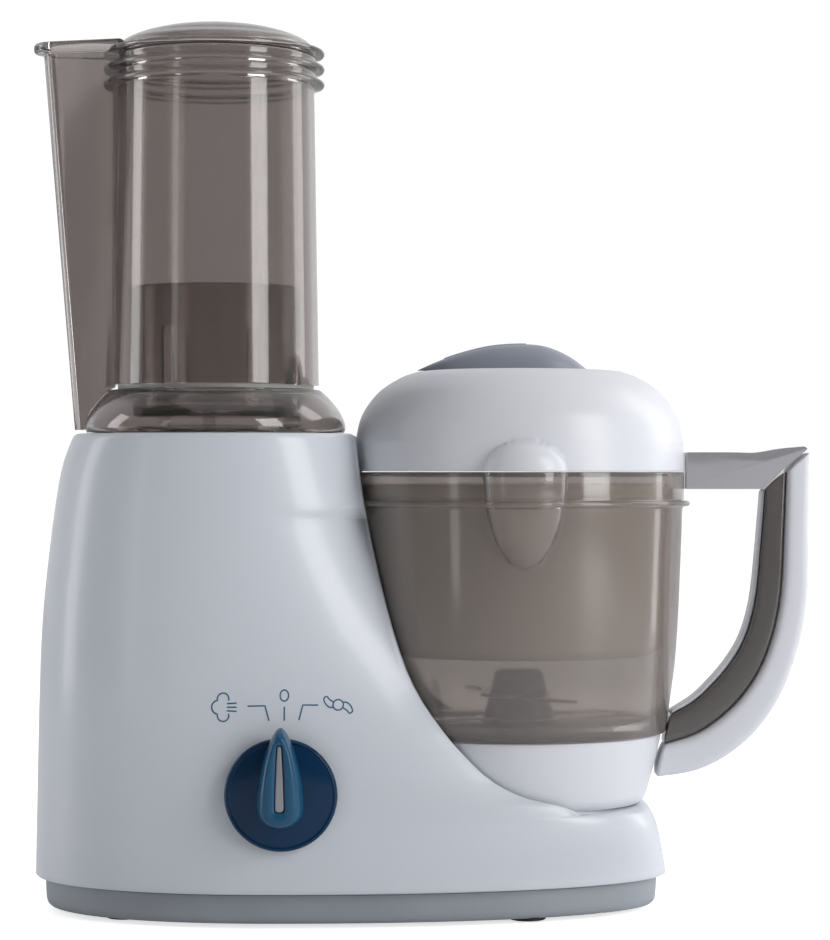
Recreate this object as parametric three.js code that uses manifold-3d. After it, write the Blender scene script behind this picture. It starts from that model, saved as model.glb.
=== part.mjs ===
// Baby food maker: a steam column with a smoked bottle warming bell on the left, and a
// blender and steamer jug in a seat on the right, on one base. Millimetres, +Z up.
// X runs from the bell to the jug handle, the front with the knob faces -Y.
import * as THREE from 'three';
import { mergeVertices } from 'three/addons/utils/BufferGeometryUtils.js';
import Module from 'manifold-3d';

const wasm = await Module();
wasm.setup();

// ---------- driving dimensions ----------
const GAP = 0.3;              // space left between touching pieces
const TOWER_X = -80;          // axis of the bell
const JUG_X = 38.2;           // axis of the jug and its drive
const MOTOR_X = -95;          // axis of the motor
const PLATE_Z = 2;            // underside of the base plate
const HOUSING_Z = 12.6;       // lower edge of the housing
const HOUSING_TOP = 183;      // top of the column
const SEAT_Z = 40.2;          // seat that the jug stands on
const WALL = 3;               // housing wall
const SEAT_CLEARANCE = 0.8;   // between the jug and the recess around it
const HALF_FRONT = 63.5;      // depth of the housing in front of the axes, at the bottom
const HALF_REAR = 66;         // and behind them
const ROUNDNESS = 2.4;        // exponent of the plan outline
const KNOB_X = -51.5;
const KNOB_Z = 49.8;
const KNOB_R = 20.8;
const SPINDLE_R = 3;          // of the knob
const LAMP_R = 2.5;
const SCREW_R = 1.4;          // shank of a case screw
const FOOT_STEM_R = 2.3;
const JUG_RIM_Z = 168.2;
const TUBE_FOOT_Z = 202;      // lower end of the bell's tube
const TUBE_FOOT_R = 40.2;
const TUBE_TOP_R = 38.4;
const RIM_HEIGHTS = [318, 324, 330];
const RIM_R = 42.6;
const CHANNEL_Z = [184.5, 333.5];
const CHANNEL_WALL = 2.2;
const BEARING_R = 7.5;
const UPPER_BEARING_R = 8.5;
const BUSH_R = 7;             // bush round the blade spindle
const SHAFT_R = 4;
const SHAFT_HOLE_R = SHAFT_R + GAP;
const ROUND = 24;             // sides of a large round piece
const MIDDLE = 16;            // sides of a middling one
const SMALL = 12;             // sides of a small one

const COLOURS = {
  shell: 0xb9bfca, plate: 0x80858b, rubber: 0x2c2e31, smoked: 0x6b6360, white: 0xe3e5ee,
  steel: 0xb4b8bd, dark: 0x33363b, knob: 0x14345a, pointer: 0x3d6a8c, lens: 0x8fa3b3,
  grip: 0x8a90a0, cream: 0xd9ceb8, silicone: 0xc9c9c4, brass: 0xb59a5b,
};

const finish = (colour, roughness = 0.4, metalness = 0, opacity = 1) =>
  new THREE.MeshStandardMaterial({
    color: COLOURS[colour], roughness, metalness, opacity, transparent: opacity < 1,
  });

// ---------- solids ----------
// A closed geometry becomes a solid once its shared vertices are merged.
function solid(geometry) {
  const plain = geometry.index ? geometry.toNonIndexed() : geometry.clone();
  for (const name of Object.keys(plain.attributes)) {
    if (name !== 'position') plain.deleteAttribute(name);
  }
  const merged = mergeVertices(plain, 1e-3);
  const index = merged.index.array;
  const faces = [];
  for (let i = 0; i < index.length; i += 3) {
    const [a, b, c] = [index[i], index[i + 1], index[i + 2]];
    if (a !== b && b !== c && c !== a) faces.push(a, b, c);
  }
  return new wasm.Manifold(new wasm.Mesh({
    numProp: 3,
    vertProperties: merged.attributes.position.array,
    triVerts: new Uint32Array(faces),
  }));
}

const join = (first, ...rest) => rest.reduce((whole, next) => whole.add(next), first);
const cut = (first, ...rest) => rest.reduce((whole, next) => whole.subtract(next), first);

// A profile of [radius, height] pairs turned about an upright axis.
function turned(profile, x = 0, y = 0, sides = ROUND) {
  const points = profile.map(([r, z]) => new THREE.Vector2(r, z));
  const geometry = new THREE.LatheGeometry(points, sides);
  return solid(geometry.rotateX(Math.PI / 2).translate(x, y, 0));
}

const disc = (r, z0, z1, x = 0, y = 0, sides = ROUND) =>
  turned([[0, z0], [r, z0], [r, z1], [0, z1]], x, y, sides);

const ring = (r0, r1, z0, z1, x = 0, y = 0, sides = ROUND) =>
  turned([[r0, z0], [r1, z0], [r1, z1], [r0, z1], [r0, z0]], x, y, sides);

// The same, with the axis pointing to the front: heights are distances along -Y.
function facing(profile, x, z, sides = SMALL) {
  const points = profile.map(([r, h]) => new THREE.Vector2(r, h));
  const geometry = new THREE.LatheGeometry(points, sides);
  return solid(geometry.rotateX(Math.PI).translate(x, 0, z));
}

// The same, with the axis along +X.
function sideways(profile, y, z, sides = SMALL) {
  const points = profile.map(([r, h]) => new THREE.Vector2(r, h));
  const geometry = new THREE.LatheGeometry(points, sides);
  return solid(geometry.rotateZ(-Math.PI / 2).translate(0, y, z));
}

function block(x0, x1, y0, y1, z0, z1) {
  const geometry = new THREE.BoxGeometry(x1 - x0, y1 - y0, z1 - z0);
  return solid(geometry.translate((x0 + x1) / 2, (y0 + y1) / 2, (z0 + z1) / 2));
}

// A flat outline raised from z0 to z1.
function raised(shape, z0, z1, curveSegments = 12) {
  const geometry = new THREE.ExtrudeGeometry(
    shape, { depth: z1 - z0, bevelEnabled: false, curveSegments });
  return solid(geometry.translate(0, 0, z0));
}

// An outline drawn in X and Z, thickened from y0 to y1.
function slab(shape, y0, y1, curveSegments = 12) {
  const geometry = new THREE.ExtrudeGeometry(
    shape, { depth: y1 - y0, bevelEnabled: false, curveSegments });
  return solid(geometry.rotateX(Math.PI / 2).translate(0, y1, 0));
}

const outline = (pairs) => new THREE.Shape(pairs.map(([a, b]) => new THREE.Vector2(a, b)));

// Rings of equal point count, joined into one closed skin with flat ends.
function lofted(rings) {
  const count = rings[0].length;
  const positions = [];
  const face = (a, b, c) => positions.push(...a, ...b, ...c);
  for (let i = 0; i + 1 < rings.length; i += 1) {
    for (let j = 0; j < count; j += 1) {
      const k = (j + 1) % count;
      face(rings[i][j], rings[i][k], rings[i + 1][k]);
      face(rings[i][j], rings[i + 1][k], rings[i + 1][j]);
    }
  }
  const middle = (points) =>
    [0, 1, 2].map((axis) => points.reduce((sum, p) => sum + p[axis], 0) / points.length);
  const first = rings[0];
  const last = rings[rings.length - 1];
  for (let j = 0; j < count; j += 1) {
    const k = (j + 1) % count;
    face(middle(first), first[k], first[j]);
    face(middle(last), last[j], last[k]);
  }
  const geometry = new THREE.BufferGeometry();
  geometry.setAttribute('position', new THREE.Float32BufferAttribute(positions, 3));
  return solid(geometry);
}

// A rod or tube of round section along a smooth curve through the points.
function rod(points, radius, sides, steps) {
  const circle = new THREE.Shape();
  circle.absarc(0, 0, radius, 0, 2 * Math.PI);
  const path = new THREE.CatmullRomCurve3(points.map((p) => new THREE.Vector3(...p)));
  const options = { extrudePath: path, steps, bevelEnabled: false, curveSegments: sides };
  return solid(new THREE.ExtrudeGeometry(circle, options));
}

const food_maker = new THREE.Group();

function piece(name, body, material) {
  const made = body.getMesh();
  const geometry = new THREE.BufferGeometry();
  geometry.setAttribute('position', new THREE.BufferAttribute(made.vertProperties, 3));
  geometry.setIndex(new THREE.BufferAttribute(made.triVerts, 1));
  geometry.computeVertexNormals();
  const mesh = new THREE.Mesh(geometry, material);
  mesh.name = name;
  food_maker.add(mesh);
}

// ---------- outlines of the housing ----------
// Each edge is a smooth line of [x, z] points, read at any height.
function edge_line(pairs) {
  const curve = new THREE.SplineCurve(pairs.map(([x, z]) => new THREE.Vector2(x, z)));
  const points = curve.getPoints(120);
  return (z) => {
    const i = points.findIndex((p, n) => n > 0 && (p.y - z) * (points[n - 1].y - z) <= 0);
    if (i < 0) return z < points[0].y ? points[0].x : points[points.length - 1].x;
    const [a, b] = [points[i - 1], points[i]];
    return a.x + ((b.x - a.x) * (z - a.y)) / (b.y - a.y || 1);
  };
}

const left_edge = edge_line([[-149.6, 12], [-148.2, 76], [-146.2, 119], [-140.4, 165], [-134.8, 183]]);
const platform_edge = edge_line([[95.6, 12], [93.2, 25], [90.5, 34], [85.4, 40.6]]);
const SWEEP = [[52, 43.7], [36, 48], [20, 58], [0, 81.5], [-11, 107], [-21.5, 150], [-26.3, 183]];
const sweep_edge = edge_line(SWEEP);
const SWEEP_FOOT = SWEEP[0][1];

const blend = (a, b, t) => a + (b - a) * THREE.MathUtils.clamp(t, 0, 1);
const depth_scale = (z) => 1 - 0.165 * Math.max(0, (z - 12) / 171) ** 1.6;
const widest_x = (z) => blend(-55, -79, THREE.MathUtils.smoothstep(z, 40, 95));

// Plan outline of the housing at one height, moved in by the given distance.
function plan(z, inset, count) {
  const x0 = widest_x(z);
  const to_left = x0 - left_edge(z) - inset;
  const reach = z < SWEEP_FOOT + 6 ? platform_edge(Math.min(z, 40.6)) : blend(84, -22, (z - 49) / 120);
  const to_right = Math.max(reach, sweep_edge(Math.max(z, SWEEP_FOOT)) + 4) - x0 - inset;
  const points = [];
  for (let i = 0; i < count; i += 1) {
    const angle = (2 * Math.PI * i) / count;
    const [c, s] = [Math.cos(angle), Math.sin(angle)];
    const round = (v) => Math.sign(v) * Math.abs(v) ** (2 / ROUNDNESS);
    const half = (s < 0 ? HALF_FRONT : HALF_REAR) * depth_scale(z) - inset;
    points.push([x0 + (c < 0 ? to_left : to_right) * round(c), half * round(s), z]);
  }
  return points;
}

// The front view of the housing: column, sweep and platform.
function front_view(inset, z0, z1) {
  const heights = [];
  for (let z = 44; z < z1; z += z < 60 ? 7 : 20) heights.push(z);
  return outline([
    [-160, z0], [platform_edge(z0) + 5, z0], [platform_edge(30) + 5 - inset, 30],
    [86 - inset, 40.6 - inset],
    ...heights.map((z) => [sweep_edge(z) - inset, z - (z < 50 ? inset : 0)]),
    [sweep_edge(z1) - inset, z1 + 5], [-160, z1 + 5],
  ]);
}

// The recess that the jug drops into: the jug's own outline with room around it.
const recess = (extra) => {
  const sides = [
    [49.9, SEAT_Z], [54.4, 60], [57.2, 67.3], [60.9, 95], [62.1, 114],
    [63.7, 151], [66.6, 154.5], [66.6, 200],
  ].map(([r, z]) => [r + SEAT_CLEARANCE + extra, z]);
  sides[0][1] -= extra;
  return turned([[0, SEAT_Z - extra], ...sides, [0, 200]], JUG_X);
};

// ---------- base ----------
const SCREW_SPOTS = [[-126, -36], [-126, 36], [66, -30], [66, 30]];
const FOOT_SPOTS = [[-112, -34], [-112, 34], [40, -38], [40, 38]];
const GLAND = { x: -60, z: 24 };
const BOILER_R = 34;
const DUCT_Z = 173;
const LAMP_Z = KNOB_Z + 12.5;
const PLUNGER_X = JUG_X - 45.5;
const PLUNGER_HOLE_R = 2.5;
const OUTLET_R = 5.3;         // holes for the cord gland and the steam outlet
const BOSS_R = 4.5;           // screw bosses inside the housing
const SEAT_UNDERSIDE = 38.5;

function housing() {
  const levels = [HOUSING_Z, 34, 40.6, 46, 58, 74, 95, 125, 155, 174, 182];
  const skin = levels.map((z) => plan(z, 0, 32));
  skin.push(plan(HOUSING_TOP, 1.4, 32));
  const outer = lofted(skin).intersect(slab(front_view(0, HOUSING_Z - 1, HOUSING_TOP), -90, 90));
  const inner_levels = [HOUSING_Z - 1, 42, 58, 90, 135, HOUSING_TOP - WALL];
  const inner = lofted(inner_levels.map((z) => plan(z, WALL, 24)))
    .intersect(slab(front_view(WALL, HOUSING_Z - 2, HOUSING_TOP - WALL), -90, 90));
  const room = cut(inner, recess(WALL));
  let shell = cut(outer, recess(0), room);
  for (const [x, y] of SCREW_SPOTS) {
    const top = x < 0 ? 46 : SEAT_UNDERSIDE;
    shell = shell.add(disc(BOSS_R, 13.4, top, x, y, SMALL));
    if (x < 0) {
      const [y0, y1] = y < 0 ? [-46.5, y] : [y, 47.5];
      shell = shell.add(block(x - 1, x + 1, y0, y1, 14, 44));
    }
  }
  shell = shell.add(disc(12, 31.9, SEAT_UNDERSIDE, JUG_X, 0, MIDDLE));
  const bores = SCREW_SPOTS.map(([x, y]) => disc(SCREW_R + GAP, 12, 30, x, y, 8));
  const from_front = (r) => [[0, 50], [r, 50], [r, 70], [0, 70]];
  return cut(
    shell, ...bores,
    disc(UPPER_BEARING_R + GAP, 30, SEAT_Z + 1, JUG_X, 0, MIDDLE),
    disc(PLUNGER_HOLE_R, 30, SEAT_Z + 1, PLUNGER_X, 0, SMALL),
    disc(BOILER_R + 1, 170, HOUSING_TOP + 2, TOWER_X, 0),
    facing(from_front(SPINDLE_R + 1.2), KNOB_X, KNOB_Z),
    facing(from_front(LAMP_R + 0.4), KNOB_X, LAMP_Z),
    facing([[0, -72], [OUTLET_R, -72], [OUTLET_R, -50], [0, -50]], GLAND.x, GLAND.z),
    sideways([[0, -34], [OUTLET_R, -34], [OUTLET_R, -26], [0, -26]], 0, DUCT_Z),
  );
}

function base_plate() {
  const heights = [[PLATE_Z, 8.5], [PLATE_Z + 1.2, 5.6], [PLATE_Z + 4, 4.2], [HOUSING_Z - GAP, 3.8]];
  const outer = lofted(heights.map(([z, inset]) =>
    plan(HOUSING_Z, inset, 32).map(([x, y]) => [x, y, z])));
  const inner_heights = [[PLATE_Z + 2.5, 8.5], [HOUSING_Z + 1, 6.4]];
  const inner = lofted(inner_heights.map(([z, inset]) =>
    plan(HOUSING_Z, inset, 24).map(([x, y]) => [x, y, z])));
  let tray = cut(outer, inner);
  const top = HOUSING_Z - GAP;
  for (const [x, y] of SCREW_SPOTS) tray = tray.add(disc(5, 3, top, x, y, SMALL));
  tray = tray.add(disc(BEARING_R + 3, 3, top, JUG_X, 0, MIDDLE));
  for (const [x, y] of SCREW_SPOTS) {
    tray = cut(tray, disc(SCREW_R + 0.4, 0, 14, x, y, 8), disc(3.6, 0, 8, x, y, 8));
  }
  for (const [x, y] of FOOT_SPOTS) {
    tray = tray.subtract(disc(FOOT_STEM_R + GAP, 0, 7, x, y, 8));
  }
  for (let i = -1; i <= 1; i += 1) {
    tray = tray.subtract(block(MOTOR_X - 14, MOTOR_X + 14, i * 9 - 2, i * 9 + 2, 0, 7));
  }
  return cut(tray, disc(BEARING_R + GAP, 4.6, 14, JUG_X, 0, MIDDLE));
}

piece('housing', housing(), finish('shell', 0.35));
piece('base_plate', base_plate(), finish('plate', 0.45));

FOOT_SPOTS.forEach(([x, y], i) => {
  const profile = [
    [0, 0], [6.8, 0], [7.4, 1.7], [FOOT_STEM_R, 1.7], [FOOT_STEM_R, 6], [0, 6],
  ];
  piece(`rubber_foot_${i + 1}`, turned(profile, x, y, SMALL), finish('rubber', 0.8));
});

SCREW_SPOTS.forEach(([x, y], i) => {
  const profile = [[0, 5], [3.2, 5], [3.2, 7.7], [SCREW_R, 7.7], [SCREW_R, 27], [0, 29]];
  const slot = block(x - 2, x + 2, y - 0.5, y + 0.5, 4, 6);
  piece(`case_screw_${i + 1}`, cut(turned(profile, x, y, 8), slot), finish('steel', 0.35, 1));
});

const gland = facing([
  [2.2, -79], [3.6, -79], [4.4, -69], [7.5, -68.6], [7.5, -66.4], [5, -66.4], [5, -61.5],
  [7.2, -61.5], [7.2, -59.5], [2.2, -59.5], [2.2, -79],
], GLAND.x, GLAND.z);
piece('cord_gland', gland, finish('rubber', 0.7));

// ---------- motor and belt drive ----------
const MOTOR_R = 31;
const PULLEY_R = 8;
const WHEEL_R = 21.65;        // 40 teeth against 16 on the motor pulley
const BELT_Z = [22.3, 29.7];
const BELT_T = 1.6;

function motor_mount() {
  let frame = ring(7, 34, 31.4, 34.2, MOTOR_X, 0, MIDDLE);
  for (const angle of [90, 180, 270]) {
    const a = THREE.MathUtils.degToRad(angle);
    const [x, y] = [MOTOR_X + 30.5 * Math.cos(a), 30.5 * Math.sin(a)];
    frame = frame.add(disc(3.4, PLATE_Z + 2.5 + GAP, 33, x, y, 12));
  }
  return frame;
}
piece('motor_mount', motor_mount(), finish('dark', 0.5));

piece('motor_end_cap', turned([
  [SHAFT_HOLE_R, 34.5], [30.8, 34.5], [30.8, 39], [28, 39], [28, 40.5], [9, 40.5], [9, 44],
  [SHAFT_HOLE_R, 44], [SHAFT_HOLE_R, 34.5],
], MOTOR_X, 0, MIDDLE), finish('steel', 0.5, 1));

piece('motor_can', turned([
  [29.3, 40.8], [MOTOR_R, 40.8], [MOTOR_R, 115], [29, 117], [10, 117], [10, 120],
  [SHAFT_HOLE_R, 120], [SHAFT_HOLE_R, 115.2], [28.4, 115.2], [29.3, 114.2], [29.3, 40.8],
], MOTOR_X, 0, MIDDLE), finish('steel', 0.4, 1));

piece('motor_rotor', turned([
  [0, 17], [SHAFT_R, 17], [SHAFT_R, 50], [23, 50], [24, 51], [24, 103], [23, 104],
  [SHAFT_R, 104], [SHAFT_R, 131], [0, 131],
], MOTOR_X, 0, MIDDLE), finish('steel', 0.35, 1));

function pulley(radius, x, z0, z1) {
  const flange = radius + 2;
  return turned([
    [SHAFT_HOLE_R, z0], [flange, z0], [flange, z0 + 1.2], [radius, z0 + 1.2],
    [radius, z1 - 1.2], [flange, z1 - 1.2], [flange, z1], [SHAFT_HOLE_R, z1],
    [SHAFT_HOLE_R, z0],
  ], x, 0, MIDDLE);
}
piece('motor_pulley', pulley(PULLEY_R, MOTOR_X, 20.6, 31.2), finish('brass', 0.4, 1));
piece('drive_pulley', pulley(WHEEL_R, JUG_X, 20.6, 31.2), finish('dark', 0.5));

// Outline of a loop round both pulleys, the given distance out from their rims.
function loop(extra) {
  const span = JUG_X - MOTOR_X;
  const lean = Math.acos((WHEEL_R - PULLEY_R) / span);
  const shape = new THREE.Shape();
  shape.absarc(JUG_X, 0, WHEEL_R + extra, -Math.PI + lean, Math.PI - lean);
  shape.absarc(MOTOR_X, 0, PULLEY_R + extra, Math.PI - lean, Math.PI + lean);
  shape.closePath();
  return shape;
}
piece('drive_belt', cut(
  raised(loop(GAP + BELT_T), ...BELT_Z), raised(loop(GAP), BELT_Z[0] - 1, BELT_Z[1] + 1),
), finish('rubber', 0.7));

function cooling_fan() {
  let fan = ring(SHAFT_HOLE_R, 9, 121, 129, MOTOR_X, 0, SMALL).add(
    ring(SHAFT_HOLE_R, 26, 121, 122, MOTOR_X, 0, MIDDLE));
  for (let i = 0; i < 5; i += 1) {
    const blade = new THREE.BoxGeometry(17.5, 1.2, 7.5).rotateX(0.5);
    blade.translate(17, 0, 125.5).rotateZ((2 * Math.PI * i) / 5).translate(MOTOR_X, 0, 0);
    fan = fan.add(solid(blade));
  }
  return fan;
}
piece('cooling_fan', cooling_fan(), finish('dark', 0.5));

piece('drive_shaft', disc(SHAFT_R, 5.2, 50, JUG_X, 0, MIDDLE), finish('steel', 0.3, 1));
const bearing = (r, z0, z1) => ring(SHAFT_HOLE_R, r, z0, z1, JUG_X, 0, MIDDLE);
piece('lower_bearing', bearing(BEARING_R, 5, 12.3), finish('brass', 0.4, 1));
piece('upper_bearing', bearing(UPPER_BEARING_R, 32.2, 39.8), finish('brass', 0.4, 1));
piece('shaft_seal', turned([
  [SHAFT_HOLE_R, 40.1], [8.5, 40.1], [8.5, 40.5], [7, 42], [5.4, 43.4], [SHAFT_HOLE_R, 43.4],
  [SHAFT_HOLE_R, 40.1],
], JUG_X, 0, MIDDLE), finish('rubber', 0.7));

const HEX_R = 6.2;
function hexagon(r, z0, z1) {
  const bar = new THREE.CylinderGeometry(r, r, z1 - z0, 6).rotateX(Math.PI / 2);
  return solid(bar.translate(JUG_X, 0, (z0 + z1) / 2));
}
piece('drive_coupling', cut(
  join(disc(9, 43.8, 47, JUG_X, 0, MIDDLE), hexagon(HEX_R, 46.5, 58)),
  disc(SHAFT_HOLE_R, 43, 50.3, JUG_X, 0, MIDDLE),
), finish('dark', 0.4));

// ---------- heating ----------
const BOILER_FLANGE_R = 38.5;
const boiler_seal = ring(BOILER_R + 1.6, BOILER_FLANGE_R, HOUSING_TOP + GAP, 184.6, TOWER_X);
piece('boiler_seal', boiler_seal, finish('silicone', 0.6));
piece('boiler_pan', turned([
  [0, 166], [29, 166], [BOILER_R, 171], [BOILER_R, 184.9], [BOILER_FLANGE_R, 184.9],
  [BOILER_FLANGE_R, 186.2],
  [32.6, 186.2], [32.6, 172], [28.4, 167.6], [0, 167.6],
], TOWER_X), finish('steel', 0.25, 1));

function heating_element() {
  const points = [];
  for (let i = 0; i <= 20; i += 1) {
    const a = THREE.MathUtils.degToRad(15 + i * 16.5);
    points.push([TOWER_X + 22 * Math.cos(a), 22 * Math.sin(a), 162.4]);
  }
  return rod(points, 3, 3, 20);
}
piece('heating_element', heating_element(), finish('steel', 0.5, 1));
piece('thermostat', turned(
  [[0, 152], [6, 152], [6, 157], [10, 157], [10, 165.6], [0, 165.6]], TOWER_X, 0, SMALL,
), finish('dark', 0.5));
piece('steam_duct', sideways(
  [[3.2, -45.6], [4.6, -45.6], [4.6, -34.4], [3.2, -34.4], [3.2, -45.6]], 0, DUCT_Z,
), finish('silicone', 0.5));
piece('steam_outlet_seal', sideways([
  [3.2, -34.1], [6.6, -34.1], [6.6, -32.6], [5, -32.6], [5, -29.7], [3.2, -29.7], [3.2, -34.1],
], 0, DUCT_Z), finish('silicone', 0.6));

// ---------- knob and switches ----------
piece('selector_switch', cut(
  join(block(KNOB_X - 17, KNOB_X + 17, -56.5, -38, 34, 66),
    facing([[0, 56], [6, 56], [6, 57.6], [0, 57.6]], KNOB_X, KNOB_Z)),
  facing([[0, 44], [SPINDLE_R + GAP, 44], [SPINDLE_R + GAP, 60], [0, 60]], KNOB_X, KNOB_Z),
), finish('dark', 0.5));
piece('knob_spindle', facing(
  [[0, 45], [SPINDLE_R, 45], [SPINDLE_R, 66.3], [0, 66.3]], KNOB_X, KNOB_Z,
), finish('brass', 0.4, 1));
piece('pilot_lamp', facing(
  [[0, 56.8], [LAMP_R, 56.8], [LAMP_R, 61.2], [1.8, 62.2], [0, 62.6]], KNOB_X, LAMP_Z,
), finish('lens', 0.2));
piece('knob_disc', cut(
  facing([[0, 64.2], [KNOB_R, 64.2], [KNOB_R, 66], [19, 67.6], [0, 68.4]], KNOB_X, KNOB_Z, 24),
  facing([[0, 60], [SPINDLE_R + GAP, 60], [SPINDLE_R + GAP, 66.6], [0, 66.6]], KNOB_X, KNOB_Z),
), finish('knob', 0.25));

// The pointer is a drop with its tip up, wide and round at the bottom.
function drop(grow) {
  const shape = new THREE.Shape();
  const [tip, low, half] = [25 + grow, 14.4 + grow, 8.6 + grow];
  shape.moveTo(KNOB_X, KNOB_Z + tip);
  const [left, right] = [KNOB_X - half, KNOB_X + half];
  const [top, shoulder, bottom] = [KNOB_Z + tip, KNOB_Z + 9, KNOB_Z - low];
  const wide = KNOB_Z - 4;
  shape.bezierCurveTo(KNOB_X + 3.2, top, right, shoulder, right, wide);
  shape.bezierCurveTo(right, bottom, left, bottom, left, wide);
  shape.bezierCurveTo(left, shoulder, KNOB_X - 3.2, top, KNOB_X, top);
  return shape;
}
const WINDOW_HALF = 2.2;
const WINDOW = [-5, 19];      // ends of the window, from the knob's axis
function pointer() {
  const heel = slab(drop(0), -74, -68.7, 8);
  const crest = slab(drop(-2), -78.5, -73, 8);
  const slot = block(
    KNOB_X - WINDOW_HALF - GAP, KNOB_X + WINDOW_HALF + GAP, -80, -73,
    KNOB_Z + WINDOW[0] - GAP, KNOB_Z + WINDOW[1] + GAP);
  return cut(join(heel, crest), slot);
}
piece('knob_pointer', pointer(), finish('pointer', 0.3));
piece('pointer_window', block(
  KNOB_X - WINDOW_HALF, KNOB_X + WINDOW_HALF, -78.3, -73.3,
  KNOB_Z + WINDOW[0], KNOB_Z + WINDOW[1],
), finish('lens', 0.15, 0, 0.6));

piece('interlock_switch', block(PLUNGER_X - 8, PLUNGER_X + 8, -5, 5, 4.8, 24), finish('dark', 0.5));
piece('interlock_plunger', turned([
  [0, 26.6], [1.4, 26.6], [1.4, 33], [3.6, 33], [3.6, 35], [2, 35], [2, 39.4], [1.2, 40.3], [0, 40.3],
], PLUNGER_X, 0, 12), finish('white', 0.4));
function plunger_spring() {
  const points = [];
  for (let i = 0; i <= 24; i += 1) {
    const a = (2 * Math.PI * i) / 8;
    points.push([PLUNGER_X + 2.7 * Math.cos(a), 2.7 * Math.sin(a), 24.9 + (7.2 * i) / 24]);
  }
  return rod(points, 0.4, 2, 26);
}
piece('plunger_spring', plunger_spring(), finish('steel', 0.3, 1));

// ---------- collar and bell ----------
const COLLAR = [[50, 183.4], [50.6, 186], [46.9, 193.5], [40.8, 200]];
const collar_body = turned([
  ...COLLAR, [35, 200], [35, 197.6], [40.4, 197.2], [44.9, 192], [48.2, 183.4], COLLAR[0],
], TOWER_X);
const NOZZLE_X = TOWER_X + 30;
piece('steam_collar', collar_body, finish('smoked', 0.15, 0, 0.6));
piece('bell_seal', ring(36.2, 38.2, 200.3, 201.7, TOWER_X), finish('silicone', 0.6));
piece('steam_nozzle', turned(
  [[0, 187], [3.2, 187], [3.2, 206], [1.6, 213], [0, 213]], NOZZLE_X, 0, SMALL,
), finish('smoked', 0.3));

// The pouring channel beside the tube: a rounded wedge that opens upwards.
function channel(inset, heights) {
  const rings = [];
  for (const z of heights) {
    const t = (z - HOUSING_TOP) / (CHANNEL_Z[1] - HOUSING_TOP);
    const lip = 4 * THREE.MathUtils.clamp((z - 325) / 8, 0, 1) ** 2;
    const tip = -134.8 - 12.4 * t - lip + inset;
    const half = blend(5, 19, t) + lip * 0.5 - inset;
    const nose = blend(2.6, 7, t) - inset * 0.6;
    const points = [];
    for (let j = 0; j <= 6; j += 1) {
      const a = Math.PI / 2 + (Math.PI * j) / 6;
      points.push([tip + nose + nose * Math.cos(a), nose * Math.sin(a), z]);
    }
    points.push([-100, -half, z], [-100, half, z]);
    rings.push(points);
  }
  return lofted(rings);
}

function steam_bell() {
  const tube = [[TUBE_FOOT_R, TUBE_FOOT_Z], [TUBE_TOP_R, RIM_HEIGHTS[0] - 0.5]];
  const rims = RIM_HEIGHTS.flatMap((z) => [
    [TUBE_TOP_R + 0.2, z], [RIM_R, z + 0.3], [RIM_R, z + 1.9], [TUBE_TOP_R + 0.2, z + 2.2],
  ]);
  const dome = [[36.4, 335], [26, 339.2], [13, 341.9], [0, 342.7]];
  const barrel = turned([[0, TUBE_FOOT_Z], ...tube, ...rims, ...dome], TOWER_X);
  const hollow = turned([
    [0, TUBE_FOOT_Z - 1], [37.9, TUBE_FOOT_Z - 1], [36.2, 330], [34.4, 333.2], [20, 338], [0, 340.2],
  ], TOWER_X);
  const tube_solid = turned(
    [[0, 150], [TUBE_FOOT_R, TUBE_FOOT_Z - 2], [TUBE_TOP_R, 340], [0, 340]], TOWER_X);
  const wedge = channel(0, [CHANNEL_Z[0], 240, 325, 329.5, CHANNEL_Z[1]]);
  const outer = join(barrel, cut(wedge, disc(39, 150, 340, TOWER_X)));
  const below = cut(
    disc(60, 150, TUBE_FOOT_Z, TOWER_X), block(-200, -118.6, -60, 60, 150, 210));
  const trough = cut(channel(CHANNEL_WALL, [150, 240, 325, 329.5, 333, 345]), tube_solid);
  const room_for_collar = turned([
    [0, 150], [51.2, 150], [51.2, 186], [50.5, 188.3], [47.4, 193.8], [43.5, 198.4], [41.3, 200.4],
    [0, 200.4],
  ], TOWER_X);
  return cut(outer, hollow, trough, below, room_for_collar);
}
piece('steam_bell', steam_bell(), finish('smoked', 0.1, 0, 0.5));

function bottle_stand() {
  const cup = turned([
    [12, 190], [31, 190], [32.5, 192], [33.2, 240], [31.4, 240], [30.8, 193], [30, 192], [12, 192],
    [12, 190],
  ], TOWER_X);
  const slots = [];
  for (let i = 0; i < 3; i += 1) {
    const bar = new THREE.BoxGeometry(90, 5, 26).rotateZ((Math.PI * i) / 3);
    slots.push(solid(bar.translate(TOWER_X, 0, 211)));
  }
  const legs = [0, 1, 2].map((i) => {
    const a = (2 * Math.PI * i) / 3 + 0.5;
    return disc(2.4, 167.9, 191, TOWER_X + 25 * Math.cos(a), 25 * Math.sin(a), 10);
  });
  const notch = block(TOWER_X + 24, TOWER_X + 40, -5.5, 5.5, 180, 216);
  return join(cut(cup, ...slots, notch), ...legs);
}
piece('bottle_stand', bottle_stand(), finish('smoked', 0.35, 0, 0.8));

// ---------- jug ----------
const SPOUT_Y = -62;
const BUSH_HOLE_R = BUSH_R + GAP;
// The lower half of an egg, flat on top, for the spout of the jug.
function egg(half_x, half_y, down, z_cut) {
  const sphere = new THREE.SphereGeometry(1, 14, 10);
  const body = solid(sphere.scale(half_x, half_y, down).translate(JUG_X, SPOUT_Y, z_cut));
  return cut(body, block(JUG_X - 40, JUG_X + 40, SPOUT_Y - 40, SPOUT_Y + 40, z_cut, z_cut + 60));
}

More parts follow.
